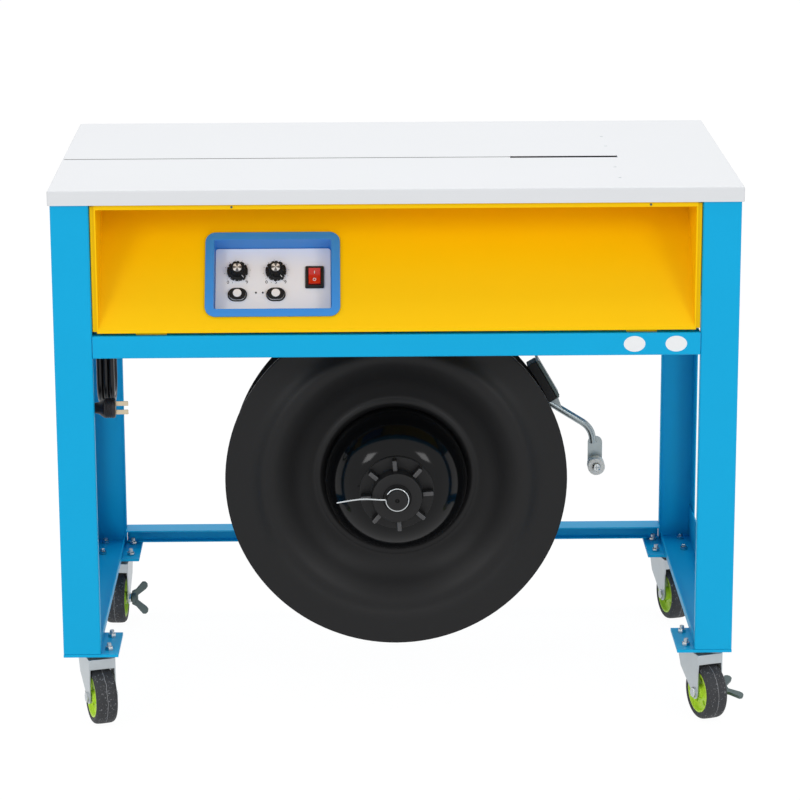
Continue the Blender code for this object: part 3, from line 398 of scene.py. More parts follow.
def tyreFinish(name, middle, turn):
    # dark rubber with a pale mould line round its tread and a little floor dust, centred on its own wheel
    mat = paint(name, tyreLook["shade"], tyreLook["rough"], tint=0.14, cloud=70, peel=0.0001,
        peelSize=0.0011)
    tree = mat.node_tree
    colour = tree.nodes["Principled BSDF"].inputs["Base Color"]
    place = wired(tree, "TexCoord", {}).outputs["Object"]
    centre = wired(tree, "Mapping", {"Vector": place, "Location": middle, "Rotation": (0, 0, turn)},
        vector_type="TEXTURE")
    axes = wired(tree, "SeparateXYZ", {"Vector": centre.outputs["Vector"]})
    wave = wired(tree, "TexNoise", {"Scale": 120, "Vector": place}).outputs["Fac"]
    offset = wired(tree, "Math", {0: wave, 1: tyreLook["waver"], 2: axes.outputs["X"]},
        operation="MULTIPLY_ADD")
    line = wired(tree, "Math", {0: offset.outputs[0], 1: tyreLook["lineAt"], 2: tyreLook["lineWide"]},
        operation="COMPARE")
    dust = wired(tree, "TexNoise", {"Scale": 420, "Detail": 2, "Vector": place})
    specks = wired(tree, "MapRange", {"From Min": tyreLook["specks"][0], "From Max": tyreLook["specks"][1],
        "Value": dust.outputs["Fac"]})
    pale = wired(tree, "Math", {0: line.outputs[0], 1: specks.outputs["Result"]}, operation="MAXIMUM")
    share = wired(tree, "Math", {0: pale.outputs[0], 1: tyreLook["dusty"]}, operation="MULTIPLY")
    mix = wired(tree, "Mix", {}, data_type="RGBA")
    mix.inputs["B"].default_value = tyreLook["dust"]
    tree.links.new(share.outputs[0], mix.inputs["Factor"])
    tree.links.new(colour.links[0].from_socket, mix.inputs["A"])
    tree.links.new(mix.outputs["Result"], colour)
    return mat


print("finishes ready")

# camera, floor and light

view = {"place": (-0.06149, -4.3633, 1.48316), "lens": 145.3, "shift": 0.056, "yaw": 0.01378,
    "pitch": 0.26028, "roll": -0.00374}


def addCamera():
    data = bpy.data.cameras.new("viewCamera")
    data.lens = view["lens"]
    data.sensor_width = 36
    data.shift_y = view["shift"]
    camera = link("viewCamera", data)
    turn = (Matrix.Rotation(-view["yaw"], 4, "Z") @ Matrix.Rotation(pi / 2 - view["pitch"], 4, "X")
        @ Matrix.Rotation(view["roll"], 4, "Z"))
    camera.matrix_world = Matrix.Translation(view["place"]) @ turn
    bpy.context.scene.camera = camera


studio = {"world": 0.66, "seen": 1.0, "floorSize": 24, "floorShade": 0.88, "floorLift": 0.93,
    "floorGlow": 1.04, "aim": (0, 0, 0.4), "lamps": [((-2.3, -3.4, 2.1), 1.1, 25),
    ((2.3, -3.4, 2.1), 1.1, 22), ((0, 0.3, 4.2), 3.0, 62)]}


def backdropRays(tree):
    # 1 where the camera, or gloss or glass, sees the backdrop; 0 where it only lights the object
    path = wired(tree, "LightPath", {})
    seen = path.outputs["Is Camera Ray"]
    for kind in ("Is Glossy Ray", "Is Transmission Ray"):
        seen = wired(tree, "Math", {0: seen, 1: path.outputs[kind]}, operation="MAXIMUM").outputs[0]
    return seen


def addStudio():
    world = bpy.data.worlds.new("studioWorld")
    world.use_nodes = True
    bpy.context.scene.world = world
    tree = world.node_tree
    back = tree.nodes["Background"]
    back.inputs["Color"].default_value = (1, 1, 1, 1)
    level = wired(tree, "MapRange", {"To Min": studio["world"], "To Max": studio["seen"],
        "Value": backdropRays(tree)})
    tree.links.new(level.outputs["Result"], back.inputs["Strength"])

    deselectAll()
    bpy.ops.mesh.primitive_plane_add(size=studio["floorSize"], location=(0, 0, -0.0006))
    floor = bpy.context.object
    floor.name = "floor"
    mat = bpy.data.materials.new("floorWhite")
    mat.use_nodes = True
    tree = mat.node_tree
    shader = tree.nodes["Principled BSDF"]
    shader.inputs["Base Color"].default_value = (studio["floorShade"],) * 3 + (1,)
    shader.inputs["Roughness"].default_value = 0.9
    glow = wired(tree, "Emission", {"Strength": studio["floorGlow"]})
    share = wired(tree, "Math", {0: backdropRays(tree), 1: studio["floorLift"]}, operation="MULTIPLY")
    mix = wired(tree, "MixShader", {0: share.outputs[0], 1: shader.outputs["BSDF"],
        2: glow.outputs["Emission"]})
    tree.links.new(mix.outputs["Shader"], tree.nodes["Material Output"].inputs["Surface"])
    floor.data.materials.append(mat)

    for number, (place, size, power) in enumerate(studio["lamps"], 1):
        data = bpy.data.lights.new("softbox%d" % number, "AREA")
        data.shape = "SQUARE"
        data.size = size
        data.energy = power
        lamp = link("softbox%d" % number, data)
        lamp.location = place
        aim = Vector(studio["aim"]) - Vector(place)
        lamp.rotation_euler = aim.to_track_quat("-Z", "Y").to_euler()
    bpy.context.scene.view_settings.view_transform = "Standard"


addCamera()
addStudio()
print("camera and studio ready")

# mains lead: gland, hank, tail and plug

lead = {"radius": 0.00375, "length": 2.0, "gland": (-0.372, -0.0806, 0.563), "mouth": -0.0986,
    "hankX": -0.386, "hankY": -0.1725, "hankLow": 0.428, "hankHigh": 0.556, "hankThick": 0.0246,
    "outer": 0.0303, "step": 0.0078, "inset": 0.0075, "tailTop": 0.520, "tailOut": 0.0275, "bend": 0.030,
    "plug": (-0.372, -0.222, 0.432), "plugLong": 0.034, "tieZ": 0.498, "pinLong": 0.0168,
    "pinApart": 0.0058}


def smoothPath(knots, spacing):
    # even points on a Catmull-Rom curve through the knots
    given = [Vector(k) for k in knots]
    knots = given[:1]
    for a, b in zip(given, given[1:]):
        share = 6 if (b - a).length > 0.035 else 1      # a long straight gets knots of its own
        knots += [a.lerp(b, (i + 1) / share) for i in range(share)]
    ends = [knots[0] * 2 - knots[1]] + knots + [knots[-1] * 2 - knots[-2]]
    fine = []
    for i in range(1, len(ends) - 2):
        p0, p1, p2, p3 = ends[i - 1:i + 3]
        for j in range(24):
            t = j / 24
            fine.append(0.5 * ((2 * p1) + (p2 - p0) * t + (2 * p0 - 5 * p1 + 4 * p2 - p3) * t * t
                + (3 * p1 - p0 - 3 * p2 + p3) * t ** 3))
    fine.append(ends[-2])
    length = sum((b - a).length for a, b in zip(fine, fine[1:]))
    count = max(2, round(length / spacing))
    points, walked, wanted = [fine[0]], 0.0, length / count
    for a, b in zip(fine, fine[1:]):
        piece = (b - a).length
        while walked + piece >= wanted - 1e-9 and len(points) < count:
            points.append(a.lerp(b, (wanted - walked) / piece))
            wanted += length / count
        walked += piece
    return points + [fine[-1]]


def soft(t):
    t = min(1.0, max(0.0, t))
    return t * t * (3 - 2 * t)


def hankTurn(x0, x1, inset0, inset1, count=20, share=1.0):
    # once round the upright oval: over the top, down the front and up the back, where it steps aside
    middle = (lead["hankHigh"] + lead["hankLow"]) / 2
    points = []
    for i in range(int(count * share)):
        done = i / count
        step = soft((done - 0.5) / 0.5)
        inset = inset0 + (inset1 - inset0) * step
        radius = lead["outer"] - inset
        half = (lead["hankHigh"] - lead["hankLow"]) / 2 - lead["radius"] - lead["outer"]
        a = pi / 2 - 2 * pi * done
        sides = (1,) if sin(a) > 0 else (-1,)
        if 4 * i in (count, 3 * count):     # each straight has a knot at both its ends
            sides = (1, -1) if 4 * i == count else (-1, 1)
        for side in sides:
            z = middle + side * half + radius * sin(a)
            points.append((x0 + (x1 - x0) * step, lead["hankY"] - radius * cos(a), z))
    return points


def tailPath():
    # down beside the hank, across in an S of two even arcs, then a quarter turn into the plug
    px, py, pz = lead["plug"]
    bend = lead["bend"]
    start = Vector((lead["hankX"] - lead["hankThick"] / 2 - 0.0006 - lead["radius"],
        lead["hankY"] - lead["tailOut"], lead["tailTop"]))
    low = Vector((px - lead["plugLong"] - 0.0003 - bend, py, pz + bend))
    aside = Vector((low.x - start.x, low.y - start.y, 0))
    drop = start.z - low.z
    whole = 2 * math.atan2(aside.length, drop)
    radius = drop / (2 * sin(whole))
    points = []
    for i in range(9):
        a = whole * i / 9
        points.append(start + aside.normalized() * radius * (1 - cos(a)) - Vector((0, 0, radius * sin(a))))
    for i in range(9, -1, -1):
        a = whole * i / 9
        points.append(low - aside.normalized() * radius * (1 - cos(a)) + Vector((0, 0, radius * sin(a))))
    for i in range(1, 9):
        a = pi / 2 * i / 8
        points.append(Vector((low.x + bend * (1 - cos(a)), py, low.z - bend * sin(a))))
    return points + [Vector((px - lead["plugLong"] + 0.006, py, pz))]


def cordRoute():
    gx, _, gz = lead["gland"]
    x, step, inset = lead["hankX"], lead["step"], lead["inset"]
    top = lead["hankHigh"] - lead["radius"]
    knots = [(gx, lead["mouth"] + 0.004, gz), (gx, lead["mouth"] - 0.010, gz),
        (gx - 0.0005, lead["mouth"] - 0.026, gz), (gx - 0.008, lead["mouth"] - 0.045, gz - 0.004),
        (x - step + 0.004, lead["hankY"] + 0.012, top + 0.0016)]
    columns = [x - step, x, x + step]
    for i in range(3):
        last = i == 2
        knots += hankTurn(columns[i], columns[i] if last else columns[i + 1], 0, inset if last else 0)
    columns = columns[::-1] + [x - lead["hankThick"] / 2 - 0.0006 - lead["radius"]]
    leave = lead["outer"] - lead["tailOut"]     # inset at which the last turn meets the tail
    for i in range(3):
        knots += hankTurn(columns[i], columns[i + 1], inset, leave if i == 2 else inset)
    knots += hankTurn(columns[3], columns[3], leave, 0, share=0.25)
    return [at(*k) for k in smoothPath(knots + tailPath(), 0.0045)]


def tubeCurve(name, points, radius, material, sides=5):
    curve = bpy.data.curves.new(name, "CURVE")
    curve.dimensions = "3D"
    curve.bevel_depth = radius
    curve.bevel_resolution = sides
    curve.use_fill_caps = True
    spline = curve.splines.new("POLY")
    spline.points.add(len(points) - 1)
    for point, place in zip(spline.points, points):
        point.co = (*place, 1)
    spline.use_smooth = True
    curve.materials.append(material)
    return link(name, curve)


def asMesh(curveObject, name):
    pick(curveObject)
    bpy.ops.object.convert(target="MESH")
    obj = bpy.context.object
    obj.name = name
    return obj


def makeLead():
    route = cordRoute()
    cord = tubeCurve("mainsLead", route, lead["radius"], cordBlack)
    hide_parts("cord_lead", "cord_hank", "cord_tail")
    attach(cord, "chassis")
    # gland: hexagon nut against the tray, domed nut and a ribbed sleeve that tapers along the lead
    gx, gy, gz = lead["gland"]
    r = lead["radius"]
    dome = [(0.0108, 0.0006), (0.0112, 0.0014), (0.0112, 0.0070), (0.0104, 0.0090), (0.0084, 0.0104),
        (0.0070, 0.0110)]
    for i in range(6):
        h = 0.0110 + i * 0.0048
        dome += [(0.0066 - i * 0.0004, h + 0.0008), (0.0066 - i * 0.0004, h + 0.0032),
            (0.0054 - i * 0.00025, h + 0.0038), (0.0054 - i * 0.00025, h + 0.0046)]
    dome += [(r + 0.0001, 0.0400), (r + 0.0001, 0.0006)]
    sleeve = turned("glandSleeve", dome, at(gx, gy, gz), out, 32, ring=True)
    thread = turned("glandThread", [(0.0078, -0.0115), (0.0078, 0.0006), (r + 0.0001, 0.0006),
        (r + 0.0001, -0.0115)], at(gx, gy, gz), out, 32, ring=True)
    nut = turned("glandNut", [(0.0118, -0.0075), (0.0118, -0.0030), (0.0079, -0.0030), (0.0079, -0.0075)],
        at(gx, gy, gz), out, 6, ring=True)
    finish(joined("cordGland", [sleeve, thread, nut]), cordBlack, "chassis", ["cord_gland"], smooth=30)
    # moulded plug with finger ridges, and its two flat pins
    px, py, pz = lead["plug"]
    body = [(0.0118, 0.0), (0.0126, -0.0004), (0.0134, -0.0016)]
    for i in range(4):
        h = -0.0034 - i * 0.0026
        body += [(0.0135, h), (0.0135, h - 0.0012), (0.0129, h - 0.0016), (0.0129, h - 0.0022)]
    body += [(0.0132, -0.0142), (0.0116, -0.0172), (0.0088, -0.0205), (0.0074, -0.0240), (0.0066, -0.0290),
        (0.0056, -lead["plugLong"] + 0.0006), (0.0046, -lead["plugLong"])]
    housing = turned("plugHousing", body, at(px, py, pz), (1, 0, 0), 48)
    plug = finish(housing, plugBlack, "chassis", ["plug"], smooth=32)
    pins = []
    for side in (-1, 1):
        z = pz + side * lead["pinApart"]
        pins.append(roundedBlock("pin", at(px - 0.001, py - 0.0008, z - 0.0032),
            at(px + lead["pinLong"], py + 0.0008, z + 0.0032), 0.0006, 2))
    pins = finish(joined("plugPins", pins), pinBrass, "chassis")
    # tie round the hank
    x, y, z = lead["hankX"], lead["hankY"], lead["tieZ"]
    band = turned("hankTie", [(0.014, 0), (0.014, 0.0032), (0.0129, 0.0032), (0.0129, 0)], at(x, y, z),
        segments=48, ring=True)
    openEdit(band)
    for end in (-1, 1):
        chooseFaces(lambda middle, normal: (middle.y - at(x, y, z).y) * end > 0.0001)
        bpy.ops.transform.translate(value=(0, end * 0.0213, 0))
    closeEdit()
    head = roundedBlock("tieHead", at(x + 0.0118, y + 0.010, z - 0.0012),
        at(x + 0.0160, y + 0.0150, z + 0.0044), 0.0007, 2)
    tie = finish(joined("hankTie", [band, head]), tieWhite, "chassis")


makeLead()
print("mains lead ready")

# table

table = {"fold": 0.0025, "slot": (0.158, 0.303), "slotY": -0.034, "slotWide": 0.017, "trim": 0.0018,
    "shadeSkin": 0.0007, "slotEnd": 0.0008, "slitEase": 0.0011, "screwX": 0.294,
    "screwDy": (-0.163, -0.083, 0.083, 0.163), "screwR": 0.0040}


def makeTable():
    low, high = tableLow, tableHigh
    top = sheetCopy("table", "tableTop")

    def onRim(a, b):
        flat = abs(a.z - high.z) < 0.0003 and abs(b.z - high.z) < 0.0003
        rim = any(abs(a[i] - side[i]) < 0.0003 and abs(b[i] - side[i]) < 0.0003 for i in (0, 1)
            for side in (low, high))
        corner = all(min(abs(v[i] - low[i]), abs(v[i] - high[i])) < 0.0003 for v in (a, b) for i in (0, 1))
        return (flat and rim) or (corner and abs(a.z - b.z) > 0.005)

    openEdit(top)
    chooseEdges(onRim)
    bpy.ops.mesh.bevel(offset=table["fold"], segments=4, affect="EDGES")
    slitY = at(0, table["slotY"], 0).y
    chooseEdges(lambda a, b: abs(a.z - high.z) < 0.0003 and abs(b.z - high.z) < 0.0003
        and max(abs(a.y - slitY), abs(b.y - slitY)) < 0.0012
        and max(a.x, b.x) < at(table["slot"][0], 0, 0).x + 0.001)
    bpy.ops.mesh.bevel(offset=table["slitEase"], segments=1, affect="EDGES")
    closeEdit()
    finish(easeEdges(top, 0.0003, 2, 60), tableWhite, "chassis", ["table"])
    top.data.materials.append(blackPlasticAndShade)
    for face in top.data.polygons:      # painted shade: the slit's walls and chamfers take the black material, so the slit reads as a shadow line
        wall = abs(face.center.y - slitY) < 0.0021 and abs(face.normal.z) < 0.95
        if wall and low.x + 0.003 < face.center.x:
            face.material_index = 1
    # ground strips along both sides of the slot, flush with the top, paler than the table: partly their own
    # bright metal, partly a painted highlight of the slot's edges; and black skins inside them, painted
    # shade that keeps the slot dark: a thin lip behind each strip and, below the lip, a skin on the slot's
    # wall that clears the press
    strips, shadeSkins = [], []
    y, half, skin = table["slotY"], table["slotWide"] / 2 - 0.0003, table["shadeSkin"]
    start, stop = table["slot"][0] + table["slotEnd"], table["slot"][1] - table["slotEnd"]

    def bar(name, edges, bottom, top, ease, steps):
        near, far = sorted(edges)
        return roundedBlock(name, at(start, near, high.z - bottom),
            at(stop, far, high.z - top), ease, steps)

    for side in (-1, 1):
        outer, inner = y + side * half, y + side * (half - table["trim"])
        strips.append(bar("strip", (outer, inner), 0.0016, 0.0002, 0.0003, 2))
        # black painted shade: a lip behind the strip and a skin on the slot's wall
        shadeSkins.append(bar("shadeSkin", (inner - side * 0.0001, inner - side * skin), 0.0017,
            0.0003, 0.0001, 1))
        shadeSkins.append(bar("shadeSkin", (outer, outer - side * skin), 0.0080, 0.0018, 0.0001, 1))
    # the strips are paler than the table: partly their own bright metal, partly a painted highlight along
    # the slot's edges
    finish(joined("slotStripsAndHighlight", strips), labelWhite, "chassis")
    finish(joined("slotShadeLining", shadeSkins), blackPlasticAndShade, "chassis")
    screws = []
    for dy in table["screwDy"]:
        head = crossScrew("tableScrew", table["screwR"], 0.0011)
        screws.append(moved(head, setAt(table["screwX"], y + dy, high.z - 0.0012)))
    finish(joined("tableScrews", screws), zincPlate, "chassis")


makeTable()
print("table ready")

# stand

stand = {"fold": 0.0026, "rim": 0.0004, "ovalX": (0.3104, 0.3649), "ovalZ": 0.5245, "ovalR": 0.0105,
    "ovalWide": 1.34}


def blueSheet(node, axis=0, bends=(), radius=stand["fold"]):
    # one folded sheet of the stand: its bends along the axis are rounded, then its rims eased
    part = sheetCopy(node)
    if bends:
        foldEdges(part, axis, bends, radius)
    finish(easeEdges(part, stand["rim"], 1, 50), frameBlue, "chassis", [node])


def makeStand():
    for tag in ("fl", "fr", "bl", "br"):
        low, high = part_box("leg_" + tag)
        front = low.y if tag[0] == "f" else high.y
        blueSheet("leg_" + tag, 2, [(low.x, front), (high.x, front)])
    low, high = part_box("front_beam")
    blueSheet("front_beam", 0, [(low.y, low.z), (low.y, high.z)])
    low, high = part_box("rear_rail")
    blueSheet("rear_rail", 0, [(high.y, low.z), (high.y, high.z)])
    for node in ("side_rail_l", "side_rail_r", "side_cover_l", "side_cover_r"):
        blueSheet(node)
    low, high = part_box("rear_cover")
    blueSheet("rear_cover", 0, [(high.y, low.z)], 0.0018)
    blueSheet("reel_hanger")
    low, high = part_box("drive_tray")
    blueSheet("drive_tray", 0, [(low.y, low.z), (high.y, low.z)])
    # two blank oval plates on the front beam
    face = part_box("front_beam")[0].y
    for number, x in enumerate(stand["ovalX"], 1):
        r = stand["ovalR"]
        badge = turned("ovalPlate%d" % number, [(r, 0), (r, 0.00022), (r - 0.0003, 0.00034)], segments=48)
        openEdit(badge)
        bpy.ops.mesh.select_all(action="SELECT")
        bpy.ops.transform.resize(value=(stand["ovalWide"], 1, 1), center_override=(0, 0, 0))
        closeEdit()
        place = Matrix.Translation((at(x, 0, 0).x, face, stand["ovalZ"])) @ toFront
        finish(badge, labelWhite, "chassis", place=place)


makeStand()
print("stand ready")

# front panel and controls

panel = {"fold": 0.0018, "frontY": -0.265, "foot": 0.547, "run": 0.123, "rise": 0.163,
    "bezel": (-0.162, 0.0782), "bezelSize": (0.177, 0.1215), "mouth": (0.154, 0.100), "proud": 0.003,
    "floor": -0.0247, "plateThick": 0.0015, "knobs": (-0.2090, -0.1583), "knobY": 0.0935, "knobR": 0.0138,
    "buttonY": 0.0600, "switch": (-0.1073, 0.0845), "switchSize": (0.025, 0.032), "knobTurn": 38.0,
    "teeth": 14, "toothRoot": 0.86, "returnX": (0.3902, 0.3962), "returnZ": (0.5440, 0.7105),
    "screwX": (-0.2126, 0.3291), "lampX": (0.0245, 0.0335)}
lean = pi / 2 - math.atan2(panel["run"], panel["rise"])
slope = setAt(0, panel["frontY"], panel["foot"]) @ Matrix.Rotation(lean, 4, "X")
plateFace = panel["floor"] + 0.0003 + panel["plateThick"]


def onPlate(x, y, height=0.0):
    return slope @ Matrix.Translation((x, y, plateFace + height))


def makePanel():
    low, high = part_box("front_panel")
    sheet = sheetCopy("front_panel", "frontPanel")
    foldEdges(sheet, 0, [(low.y, high.z), (low.y, high.z - 0.0065), (low.y, 0.5425), (low.y, 0.547)],
        panel["fold"] * 0.45, 3)
    finish(easeEdges(sheet, 0.0003, 1, 50), panelYellow, "chassis", ["front_panel"])
    screws = []
    for x in panel["screwX"]:
        head = crossScrew("panelScrew", 0.0016, 0.0008)
        spot = Matrix.Translation((at(x, 0, 0).x, low.y + 0.0001, high.z - 0.0035))
        screws.append(moved(head, spot @ toFront))
    finish(joined("panelScrews", screws), pedalSteel, "chassis")
    # side returns of the sheet, bent back towards the legs
    returns = []
    for side in (-1, 1):
        near, far = sorted((side * panel["returnX"][0], side * panel["returnX"][1]))
        bottom, top = panel["returnZ"]
        returns.append(roundedBlock("return", at(near, panel["frontY"] + 0.0030, bottom),
            at(far, panel["frontY"] + 0.0048, top), 0.0004, 1))
    finish(joined("panelReturns", returns), panelYellow, "chassis")


def makeBezel():
    # a flat frame whose mouth is drawn back to the floor of the tray
    (x, y), (wide, tall), (mouthWide, mouthTall) = panel["bezel"], panel["bezelSize"], panel["mouth"]
    tray = roundedPlate("controlBezel", wide, tall, panel["proud"] - 0.0003, 0.0140, 8, (x, y, 0.0006))
    openEdit(tray)
    chooseFaces(lambda middle, normal: normal.z < -0.9)
    bpy.ops.mesh.delete(type="FACE")
    chooseFaces(lambda middle, normal: normal.z > 0.9)
    rim = (wide - mouthWide) / 2
    bpy.ops.mesh.inset(thickness=rim)
    bpy.ops.transform.resize(value=(1, mouthTall / (tall - 2 * rim), 1), center_override=(x, y, 0))
    bpy.ops.mesh.extrude_region_move()
    bpy.ops.transform.translate(value=(0, 0, panel["floor"] - panel["proud"] - 0.0003))
    bpy.ops.transform.resize(value=(0.996, 0.994, 1), center_override=(x, y, 0))
    closeEdit()
    wall = tray.modifiers.new("wall", "SOLIDIFY")
    wall.thickness = 0.0012
    wall.offset = -1
    easeEdges(tray, 0.0007, 3, 40)
    finish(tray, bezelBlue, "chassis", ["control_bezel"], slope)
    plate = roundedPlate("controlPlate", mouthWide - 0.0022, mouthTall - 0.0022,
        panel["plateThick"] - 0.0002, 0.0040, 6, (x, y, panel["floor"] + 0.0003), 0.0003)
    # shallow collars guide the two buttons
    collars = []
    for bx in panel["knobs"]:
        collar = roundedPlate("collar", 0.0256, 0.0190, 0.0018, 0.0094, 8,
            (bx, panel["buttonY"], plateFace - 0.0002))
        hole = roundedPlate("hole", 0.0230, 0.0164, 0.0060, 0.0081, 8,
            (bx, panel["buttonY"], plateFace - 0.0020))
        collars.append(easeEdges(cutBy(collar, [hole]), 0.0003, 2, 50))
    finish(joined("buttonCollars", collars), knobBlack, "chassis", place=slope)
    finish(plate, plateWhite, "chassis", ["control_plate"], slope)


def makeKnob(number, x):
    r = panel["knobR"]
    root, teeth = panel["toothRoot"], panel["teeth"]
    skirt = turned("knobSkirt", [(r * root, 0), (r * root, 0.0042), (r * 0.70, 0.0050), (r * 0.62, 0.0128),
        (r * 0.58, 0.0136), (r * 0.44, 0.0138)], segments=5 * teeth)
    # teeth round the skirt and ribs round the grip: three strips of wall out of five are drawn out
    openEdit(skirt)
    for low, high, grow in ((0.0002, 0.0040, 1 / root), (0.0052, 0.0120, 1.09)):
        chooseFaces(lambda middle, normal: low < middle.z < high
            and int(math.degrees(math.atan2(middle.y, middle.x)) % 360 * teeth / 72) % 5 < 3)
        bpy.ops.mesh.extrude_region_move()
        bpy.ops.transform.resize(value=(grow, grow, 1), center_override=(0, 0, 0))
    closeEdit()
    turn = Matrix.Rotation(radians(panel["knobTurn"]), 4, "Z")
    tab = roundedBlock("tab", (-0.0018, -r * 1.10, 0.0002), (0.0018, -r * 0.55, 0.0056), 0.0006, 2)
    moved(tab, turn)
    place = onPlate(x, panel["knobY"], 0.0003)
    finish(joined("knob%d" % number, [skirt, tab]), knobBlack, "knob_%d" % number, ["knob_%d" % number],
        place)
    cap = turned("knobCap%d" % number, [(r * 0.43, 0.0132), (r * 0.43, 0.0143), (r * 0.38, 0.0147),
        (0, 0.0149)], segments=48)
    finish(cap, capSilver, "knob_%d" % number, place=place)
    cap.data.materials.append(capPaintedReflection)
    back = place.inverted()
    for face in cap.data.polygons:      # painted reflection: four sectors of the spun face take the darker cap colour, drawing the cross its light throws in four rays
        spot = back @ face.center
        ray = (math.degrees(math.atan2(spot.y, spot.x)) - 45) % 90
        face.material_index = int(spot.z > 0.0140 and 24 < ray < 66)
    line = roundedBlock("knobLine%d" % number, (-0.0004, -r * 0.98, 0.0050),
        (0.0004, -r * 0.66, 0.0060), 0.0001, 1)
    moved(line, turn)
    finish(line, labelWhite, "knob_%d" % number, place=place)


def makeButton(number, x):
    place = onPlate(x, panel["buttonY"], 0.0003 + 0.0025)
    base = roundedPlate("button%d" % number, 0.0220, 0.0154, 0.0036, 0.0076, 8, (0, 0, 0), 0.0006)
    finish(base, knobBlack, "button_%d" % number, ["button_%d" % number], place)
    face = turned("buttonFace%d" % number, [(0.0057, 0.0030), (0.0057, 0.0036), (0.0054, 0.0039),
        (0.0044, 0.0040)], segments=40)
    finish(face, buttonWhite, "button_%d" % number, place=place)


def makeSwitch():
    (x, y), (wide, tall) = panel["switch"], panel["switchSize"]
    case = roundedPlate("switchCase", wide, tall, 0.0016, 0.0020, 4)
    openEdit(case)
    chooseFaces(lambda middle, normal: normal.z > 0.9)
    bpy.ops.mesh.inset(thickness=0.0012)
    bpy.ops.transform.translate(value=(0, 0, 0.0020))
    closeEdit()
    x1, y1 = wide / 2 - 0.0039, tall / 2 - 0.0038
    cutBy(case, [roundedBlock("mouth", (-x1, -y1, 0.0002), (x1, y1, 0.0100), 0.0003, 1)])
    finish(easeEdges(case, 0.0003, 2, 40), blackPlasticAndShade, "chassis", ["switch_frame"], onPlate(x, y, 0.0003))
    rocker = sheetCopy("switch_rocker", "switchRocker")
    finish(easeEdges(rocker, 0.0005, 3, 25), switchRed, "rocker", ["switch_rocker"])
    # a plain bar and a plain ring on the rocker
    bar = roundedBlock("switchBar", (-0.0004, 0.0034, 0.0042), (0.0004, 0.0072, 0.00535), 0.0001, 1)
    moved(bar, Matrix.Translation((0, 0, 0.0006)))
    ring = turned("switchRing", [(0.0021, 0), (0.0021, 0.0007), (0.0015, 0.0007), (0.0015, 0)],
        (0, -0.0052, 0.0050), segments=32, ring=True)
    finish(joined("switchMarks", [bar, ring]), labelWhite, "rocker", place=onPlate(x, y))


def makePrint():
    # plain dial numbers and small lamps on the plate
    marks = []
    for x in panel["knobs"]:
        digits = [("0", -0.0125), ("9", 0.0125)]
        if x == panel["knobs"][1]:
            digits.append(("5", 0.0))
        for digit, dx in digits:
            bpy.ops.object.text_add()
            label = bpy.context.object
            label.data.body = digit
            label.data.size = 0.0064
            label.data.align_x = "CENTER"
            label.data.extrude = 0.00006
            label.location = (x + dx, panel["knobY"] - 0.0172, 0.00008)
            bpy.ops.object.convert(target="MESH")
            bpy.ops.object.transform_apply(location=True)
            marks.append(bpy.context.object)
        for i in range(11):
            a = radians(-112 - 30 * i)     # 30 degrees apart, the gap at the bottom
            mark = roundedBlock("tick", (0.0162, -0.00018, 0), (0.0176, 0.00018, 0.0001), 0.00002, 1)
            moved(mark, Matrix.Translation((x, panel["knobY"], 0)) @ Matrix.Rotation(a, 4, "Z"))
            marks.append(mark)
    finish(joined("plateMarks", marks), printGrey, "chassis", place=onPlate(0, 0))
    for number, dx in enumerate(panel["lampX"], 1):
        lamp = turned("plateLamp%d" % number, [(0.0012, 0), (0.0012, 0.0006), (0.0009, 0.0010),
            (0.0004, 0.0012)], segments=20)
        spot = onPlate(panel["knobs"][0] + dx, panel["buttonY"] + 0.0030)
        finish(lamp, blackPlasticAndShade, "chassis", place=spot)


makePanel()
makeBezel()
for number, x in enumerate(panel["knobs"], 1):
    makeKnob(number, x)
    makeButton(number, x)
makeSwitch()
makePrint()
print("panel and controls ready")

# strap reel

reel = {"z": 0.3095, "rim": -0.150, "gap": 0.090, "front": 0.232, "rear": 0.227, "sheet": 0.0025,
    "shaft": 0.0135, "shaftFront": 0.104, "drum": 0.0915, "nut": 0.050, "hub": 0.0297, "nutWall": 0.034,
    "ribs": 8, "wire": 0.0011}


def reelAt(height=0.0):
    return at(0, reel["rim"] - height, reel["z"])


def dish(rim, sign, station, inner):
    # one flange's section: its outer face, the same face from below, and the bead round its rim
    face = [(rim * 0.994, 0.0), (rim * 0.885, 0.0), (rim * 0.83, 0.0035), (rim * 0.775, 0.0115),
        (rim * 0.73, 0.0115), (rim * 0.66, 0.002), (rim * 0.58, -0.012), (rim * 0.49, -0.0195), inner]
    face = eased(face, 2)
    outer = [(r, station + sign * h) for r, h in face]
    under = [(r, station + sign * (h - reel["sheet"])) for r, h in face]
    bead = [(rim * 0.996, station - sign * 0.0047), (rim, station - sign * 0.0040),
        (rim, station - sign * 0.0010)]
    return outer, under, bead


